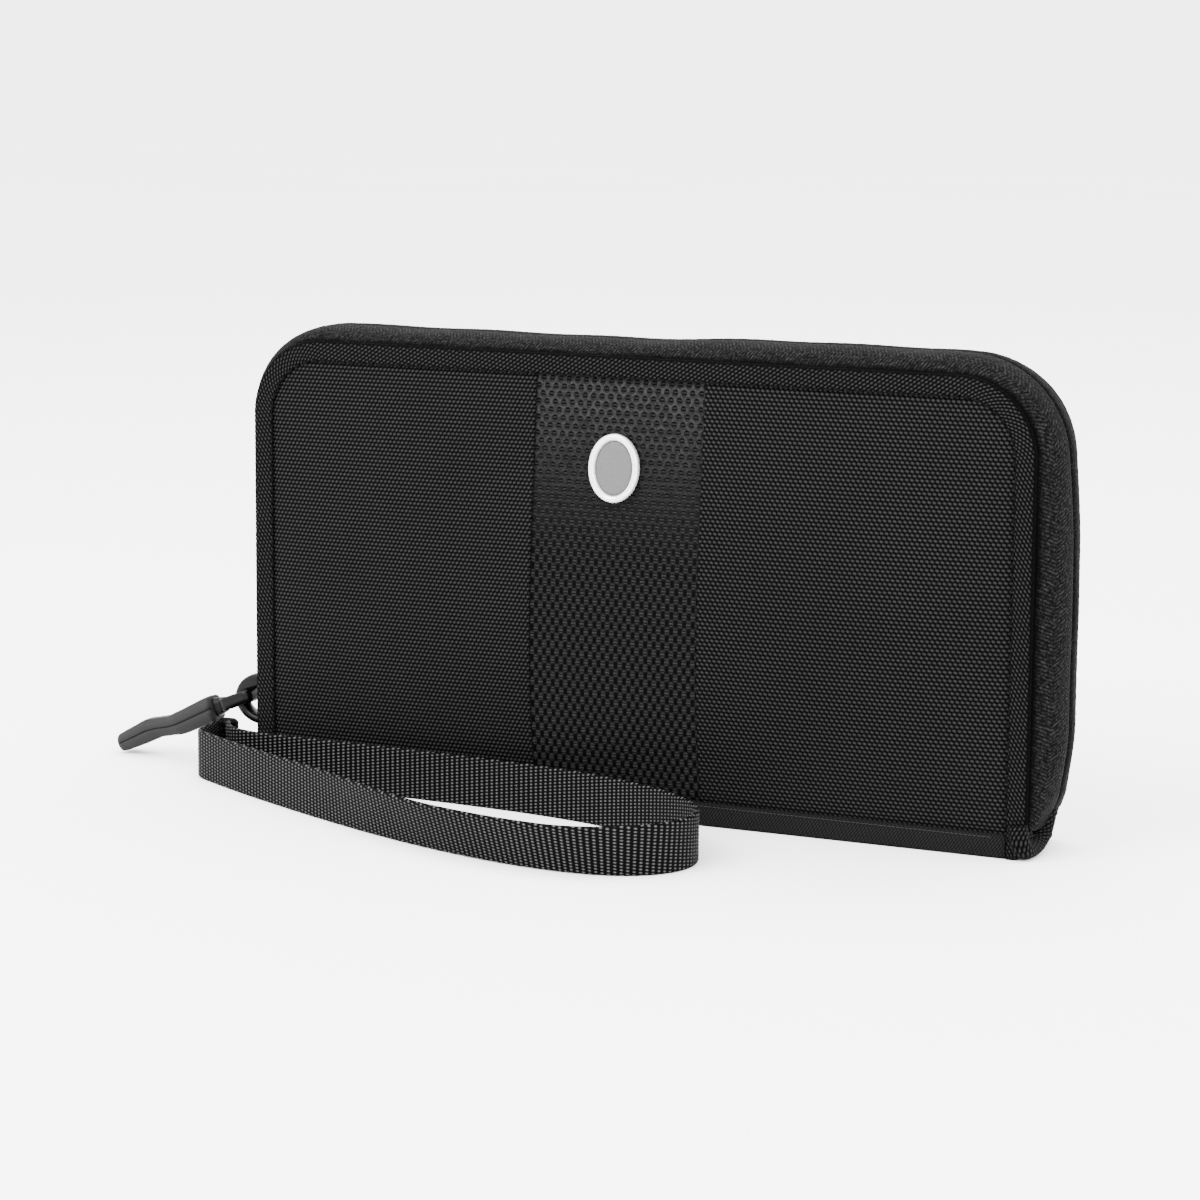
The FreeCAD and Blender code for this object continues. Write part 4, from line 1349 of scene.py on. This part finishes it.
def make_puller():
    """Metal link round the bridge and the moulded rubber grip."""
    arm = 3.2
    reach = 9.2
    loop = [(0.0, -arm + 0.9), (0.0, arm - 0.9), (-0.25, arm - 0.25), (-0.9, arm),
            (-reach + 1.6, arm), (-reach + 0.5, arm - 0.4), (-reach, arm - 1.3), (-reach, 1.6)]
    near = [(x, -y) for x, y in reversed(loop[1:])]
    line = [Vector((x, y, 0)) for x, y in rounded_path(near + loop[1:], 0.5)]
    ring = rod("link_ring", line, 0.68, 14)
    bar = rod("link_bar", [Vector((-reach, y, 0)) for y in (-2.0, 0, 2.0)], 0.62, 14)
    stem = rod("link_stem", [Vector((-reach + 0.2 - 0.5 * i, 0, 0)) for i in range(8)],
               lambda share: 0.75 + 0.3 * share, 14)
    for end in stem.data.vertices:
        end.co.y *= 1.7
    link = joined("puller_link_wire", [ring, bar, stem])
    for point in link.data.vertices:
        point.co.z = point.co.z * 2.6 + 0.8 * MM
        level = from_puller([point.co / MM])[0]
        point.co = level * MM
    finish_piece(link, PULLER, "black_metal", "puller_link")
    make_grip()


def rounded_path(points, spacing):
    """A path through points with extra stops every so often."""
    dense = []
    for (ax, ay), (bx, by) in zip(points, points[1:]):
        count = max(1, round(math.hypot(bx - ax, by - ay) / spacing))
        dense += [(ax + (bx - ax) * i / count, ay + (by - ay) * i / count) for i in range(count)]
    return dense + [points[-1]]


def straight_between(table, d):
    """Interpolation in a table of (distance, value...) rows, eased a little at each row."""
    for a, b in zip(table, table[1:]):
        if d <= b[0]:
            share = (d - a[0]) / (b[0] - a[0])
            share = 0.6 * share + 0.4 * share * share * (3 - 2 * share)
            return [p + (q - p) * share for p, q in zip(a[1:], b[1:])]
    return list(table[-1][1:])


def make_grip():
    """Moulded grip with flat facets, a waist, a rounded swell at the end and a parting line."""
    # distance from the axle, half thickness, half width
    table = [(12.2, 2.5, 3.2), (12.5, 3.1, 3.9), (13.2, 3.4, 4.15), (23.7, 3.1, 4.1),
             (26.9, 2.6, 3.6), (30.9, 2.6, 3.6), (33.8, 2.95, 4.1), (38.0, 2.75, 4.1),
             (42.6, 2.45, 3.9), (43.5, 2.1, 3.5), (43.9, 1.6, 3.0), (44.1, 1.0, 2.2)]
    bend = [(12.2, 0.8), (23.7, -0.06), (26.9, 0.06), (30.9, 0.73), (33.8, 0.9), (38.0, 0.47),
            (44.1, 0.0)]
    stops = [12.2 + 31.9 * i / 110 for i in range(111)]
    quarter = [(1.0, 0.0), (1.0, 0.05), (0.985, 0.3), (0.965, 0.45), (0.9, 0.6), (0.78, 0.86),
               (0.7, 0.97), (0.6, 1.0), (0.3, 1.02), (0.0, 1.03)]
    shape = quarter + [(-w, t) for w, t in reversed(quarter[:-1])]
    shape += [(-w, -t) for w, t in quarter[1:]] + [(w, -t) for w, t in reversed(quarter[1:-1])]
    rings = []
    for d in stops:
        thick, wide = straight_between(table, d)
        lift = straight_between(bend, d)[0]
        ring = []
        for w, t in shape:
            groove = 0.9 if abs(t) < 0.04 else 1.0
            ring.append((-d, w * wide * groove, t * thick + lift))
        rings.append(from_puller(ring))
    across = lengths([(w * 4, t * 3, 0) for w, t in shape + shape[:1]])
    across = [v * GRIP_ROUND / across[-1] for v in across]
    grip = sweep("puller_grip_moulding", rings, stops, across)
    finish_piece(grip, PULLER, "grip_rubber", "puller_grip")


def make_strap_root():
    """Tab sewn into the zip end and the wrapped neck that joins the strap to it."""
    low, high = cad("strap_tab")
    under = [(-1, -0.3), (-0.97, -0.8), (-0.85, -1), (-0.4, -1), (0.0, -1), (0.4, -1), (0.85, -1),
             (0.97, -0.8), (1, -0.3)]
    section = under + [(-w, -t) for w, t in under]
    rings = []
    count = 16
    for i in range(count + 1):
        x = low.x + (high.x - low.x) * i / count
        sag = 0.25 * math.sin(math.pi * i / count)
        rings.append([Vector((x, w * 4.5, 3.8 + t * 0.78 + sag)) for w, t in section])
    across = lengths(rings[0] + rings[0][:1])
    tab = sweep("strap_tab_webbing", rings, [i * 0.8 for i in range(count + 1)], across)
    finish_piece(tab, FRONT, "webbing_back", "strap_tab")
    low, high = cad("strap_connector")
    rings = []
    steps = 26
    sides = 24
    for i in range(steps + 1):
        share = i / steps
        z = low.z + (high.z - low.z) * share
        pinch = 1 - 0.2 * math.sin(math.pi * share) ** 2 - 0.25 * max(0.0, (share - 0.85) / 0.15) ** 2
        wrap = 0.22 * abs(math.sin(share * math.pi * 7))
        ring = []
        half_x = (high.x - low.x) / 2 - 0.25 + wrap
        half_y = (high.y - low.y) / 2 - 0.25 + wrap
        for t in circle(sides):
            c = boxy(math.cos(t), 0.65)
            s = boxy(math.sin(t), 0.65)
            ring.append(Vector(((low.x + high.x) / 2 + c * half_x * pinch,
                                (low.y + high.y) / 2 + s * half_y * pinch, z)))
        rings.append(ring)
    neck = sweep("strap_neck_wrap", rings, [i * 0.35 for i in range(steps + 1)],
                 [k * 0.75 for k in range(sides + 1)])
    finish_piece(neck, FRONT, "webbing_back", "strap_connector")


# --------------------------------------------------------------------- interior

def rounded_outline(half_x, foot, top, radius):
    """Outline of a cover sheet: square foot and two rounded top corners, as (x, z)."""
    turns = 12
    points = [(-half_x, foot)]
    for sign, order in ((-1, range(turns + 1)), (1, range(turns, -1, -1))):
        for i in order:
            a = math.pi / 2 * i / turns
            points.append((sign * (half_x - radius + radius * math.cos(a)),
                           top - radius + radius * math.sin(a)))
    points.append((half_x, foot))
    return points


def make_layers():
    """Foam, stiffener board and lining of each cover."""
    for side, body, sign, height in (("front", FRONT, -1, CROWN), ("back", BACK, 1, BACK_CROWN)):
        for layer, material, y_out, y_in in (("stiffener", "board", STIFFENER_Y, LINING_Y),
                                             ("lining", "lining", LINING_Y, INNER_Y)):
            node = "%s_%s" % (side, layer)
            low, high = cad(node)
            radius = CORNER_R - (HALF_X - high.x)
            outline = [Vector((x, 0, z)) for x, z in rounded_outline(high.x, low.z, high.z, radius)]
            piece = loop_solid(node + "_sheet", outline, (0, sign * y_out, 0), (0, sign * y_in, 0))
            planar_uvs(piece)
            bevelled(piece, SHEET_EDGE, 2)
            finish_piece(piece, body, material, node)
        node = side + "_foam"
        foam = foam_pad(node + "_pad", *cad(node), sign, height)
        finish_piece(foam, body, "foam", node)


def planar_uvs(obj):
    """UVs in millimetres straight from x and z."""
    layer = obj.data.uv_layers.active or obj.data.uv_layers.new(name="UVMap")
    for loop in obj.data.loops:
        spot = obj.data.vertices[loop.vertex_index].co / MM
        layer.data[loop.index].uv = (spot.x + spot.y, spot.z)


def foam_pad(name, low, high, sign, height):
    """Thin foam pad between the outside cloth and the board, swelling in the middle."""
    columns = 60
    rows = 34
    fronts = []
    for i in range(rows + 1):
        z = low.z + (high.z - low.z) * i / rows
        pull = corner_inset(z, HALF_X - high.x)
        for j in range(columns + 1):
            x = (high.x - pull) * (2 * j / columns - 1)
            swell = max(0.0, crown(x, min(max(z, LIP_H), HEIGHT - BINDING_W), height))
            inside = min(high.x - pull - abs(x), high.z - z, z - low.z)
            y = 9.3 + (2.3 + swell) * min(1.0, max(0.0, inside) / 5.0 + 0.12)
            fronts.append(Vector((x, sign * y, z)))
    backs = [Vector((v.x, sign * STIFFENER_Y, v.z)) for v in fronts]
    return closed_sheet(name, fronts, backs, columns)


def hem(name, body, x0, x1, z, y, side):
    """Rolled ribbon hem along a pocket's top edge."""
    rings = []
    count = round((x1 - x0) / 2)
    for i in range(count + 1):
        x = x0 + (x1 - x0) * i / count
        ring = []
        for r, t in ((-3.0, 0.02), (-2.9, 0.2), (-2.0, 0.24), (-1.0, 0.26), (-0.2, 0.24), (0.02, 0.1),
                     (0.05, -0.2), (0.0, -0.5), (-0.3, -0.66), (-2.9, -0.66), (-3.0, -0.5)):
            ring.append(Vector((x, y + side * (t - 0.02), z + r + 0.03)))
        rings.append(ring)
    across = lengths(rings[0] + rings[0][:1])
    piece = sweep(name, rings, [r[0].x for r in rings], across)
    return finish_piece(piece, body, "spine_twill")


def pocket_piece(node, body, side, seed):
    """A pocket's cloth with its rolled hem and the stitches under it."""
    low, high = cad(node)
    y_face = high.y if side > 0 else low.y
    cloth = cloth_plate(node + "_cloth", low.x, high.x, low.z, high.z - 0.4, y_face - side * 0.02,
                        y_face - side * 0.5, 0.3, seed)
    finish_piece(cloth, body, "lining", node)
    hem(node + "_hem", body, low.x, high.x, high.z - 0.05, y_face, side)
    for edge_x, inward in ((low.x, 1), (high.x, -1)):
        ends = sorted((edge_x, edge_x + inward * 0.9))
        gusset = box_piece(node + ("_side_a" if inward > 0 else "_side_b"),
                           (ends[0], low.y, low.z), (ends[1], high.y, high.z - 0.6), 0.15, 2)
        finish_piece(gusset, body, "lining")
    y = y_face + side * 0.22
    line = [Vector((x, y, high.z - 2.6)) for x in grid_stops(low.x + 1.5, high.x - 1.5, 4.0)]
    row = inside_stitches(node + "_stitches", line, side, 0.06)
    finish_piece(row, body, "thread")


def make_pockets():
    """Every pocket on the inside of the two covers."""
    pocket_piece("ticket_pocket", FRONT, 1, 1.3)
    pocket_piece("passport_pocket", FRONT, 1, 2.4)
    pocket_piece("document_pocket", FRONT, 1, 3.1)
    for i in range(1, 5):
        pocket_piece("card_slot_%d" % i, BACK, -1, 4.0 + i)
    make_window()
    make_coin_pocket()


def framed_cloth(node, low, high, hole_low, hole_high, y_back, wave, seed):
    """A pocket's cloth on the back cover with a rectangular opening cut in it."""
    cloth = cloth_plate(node + "_cloth", low.x, high.x, low.z, high.z, low.y + 0.02, y_back, wave,
                        seed, (hole_low.x, hole_high.x, hole_low.z, hole_high.z))
    finish_piece(cloth, BACK, "lining", node)


def make_window():
    """Window pocket: a cloth frame with an opening, and the clear sheet behind it."""
    low, high = cad("window_frame")
    w_low, w_high = cad("window_sheet")
    framed_cloth("window_frame", low, high, w_low, w_high, low.y + 0.5, 0.06, 9.0)
    clear = cloth_plate("window_clear_sheet", w_low.x - 0.8, w_high.x + 0.8, w_low.z - 0.8,
                        w_high.z + 0.8, w_low.y + 0.32, w_low.y + 0.48, 0.03, 5.0)
    finish_piece(clear, BACK, "clear_film", "window_sheet")
    corners = [(w_low.x - 1.2, w_low.z - 1.2), (w_high.x + 1.2, w_low.z - 1.2),
               (w_high.x + 1.2, w_high.z + 1.2), (w_low.x - 1.2, w_high.z + 1.2)]
    rows = []
    for k, (a, b) in enumerate(zip(corners, corners[1:] + corners[:1])):
        line = [Vector((a[0] + (b[0] - a[0]) * t / 8, low.y, a[1] + (b[1] - a[1]) * t / 8))
                for t in range(9)]
        rows.append(inside_stitches("window_row_%d" % k, line, -1))
    stitches = joined("window_stitches", rows)
    finish_piece(stitches, BACK, "thread")
    hem("window_frame_hem", BACK, low.x, high.x, high.z, low.y + 0.02, -1)


def make_coin_pocket():
    """Zipped coin pocket with its own small coil, slider and puller."""
    low, high = cad("coin_pocket")
    t_low, t_high = cad("coin_zip_tape")
    framed_cloth("coin_pocket", low, high, t_low, t_high, high.y, 0.3, 7.0)
    tape = cloth_plate("coin_zip_knit", t_low.x - 0.3, t_high.x + 0.3, t_low.z - 0.3, t_high.z + 0.3,
                       t_low.y + 0.12, t_high.y, 0.02, 1.0)
    finish_piece(tape, BACK, "coin_knit", "coin_zip_tape")
    c_low, c_high = cad("coin_zip_coil")
    teeth = []
    pitch = 1.1
    count = int((c_high.x - c_low.x) / pitch)
    mid_z = (c_low.z + c_high.z) / 2
    for i in range(count):
        x = c_low.x + (i + 0.5) * pitch
        sign = 1 if i % 2 else -1
        line = [Vector((x - 0.2, c_high.y - 0.1, mid_z + sign * 1.25)),
                Vector((x - 0.12, c_low.y + 0.3, mid_z + sign * 1.0)),
                Vector((x, c_low.y + 0.22, mid_z)),
                Vector((x + 0.05, c_low.y + 0.3, mid_z - sign * 0.45)),
                Vector((x + 0.15, c_high.y - 0.15, mid_z - sign * 0.3))]
        teeth.append(rod("tooth_%d" % i, line, 0.26, 6))
    coil = joined("coin_coil", teeth)
    finish_piece(coil, BACK, "coil_nylon", "coin_zip_coil")
    make_coin_slider()
    rows = []
    for k, z in enumerate((t_low.z - 1.0, t_high.z + 1.0)):
        line = [Vector((x, low.y, z)) for x in grid_stops(t_low.x, t_high.x, 4.0)]
        rows.append(inside_stitches("coin_row_%d" % k, line, -1))
    finish_piece(joined("coin_stitches", rows), BACK, "thread")


def make_coin_slider():
    """The coin pocket's cap slider with two cheeks, an axle, and a short bar puller."""
    low, high = cad("coin_slider")
    x = (low.x + high.x) / 2
    z = (low.z + high.z) / 2
    cap_y0 = low.y + 1.15
    shape = [(-3.5, -1.4), (-2.9, -2.0), (0.0, -2.2), (2.6, -1.9), (3.5, -1.0)]
    outline = [Vector((x + a, 0, z + b)) for a, b in shape]
    outline += [Vector((x + a, 0, z - b)) for a, b in reversed(shape)]
    cap = loop_solid("coin_cap", outline, (0, cap_y0, 0), (0, cap_y0 + 0.8, 0))
    parts = [cap]
    axle_y = low.y + 0.6
    for sign in (-1, 1):
        parts.append(box_piece("coin_cheek", (x + sign * 1.6 - 0.4, axle_y - 0.6, z - 1.2),
                               (x + sign * 1.6 + 0.4, cap_y0 + 0.1, z + 1.2), 0.1))
        parts[-1].modifiers.clear()
    body = joined("coin_slider_casting", parts)
    axle = rod("coin_axle", [Vector((x - 1.4, axle_y, z)), Vector((x, axle_y, z)),
                             Vector((x + 1.4, axle_y, z))], 0.34, 10)
    body = joined("coin_slider_casting", [body, axle])
    smooth_shaded(body)
    bevelled(body, 0.18, 3)
    finish_piece(body, COIN_SLIDER, "black_metal", "coin_slider")
    turns = 20
    eye = [Vector((x, axle_y + 0.6 * math.cos(t), z + 0.6 * math.sin(t)))
           for t in circle(turns) + [2 * math.pi]]
    ring = rod("coin_eye", eye, 0.14, 8)
    for v in ring.data.vertices:
        v.co.x = (x + (v.co.x / MM - x) * 5.0) * MM
    stem = box_piece("coin_stem", (x - 0.8, axle_y - 0.35, z - 4.2),
                     (x + 0.8, axle_y + 0.35, z - 0.55), 0.1)
    blade = box_piece("coin_blade", (x - 1.8, axle_y - 0.45, z - 11),
                      (x + 1.8, axle_y + 0.45, z - 3.6), 0.1)
    stem.modifiers.clear()
    blade.modifiers.clear()
    puller = joined("coin_puller_bar", [blade, stem, ring])
    smooth_shaded(puller)
    bevelled(puller, 0.16, 3)
    finish_piece(puller, COIN_PULLER, "black_metal", "coin_puller")


make_stage()
make_strap()
make_outer_panels()
make_bindings()
make_zip()
make_spine()
make_badge()
make_zip_ends()
make_slider()
make_puller()
make_strap_root()
make_layers()
make_pockets()
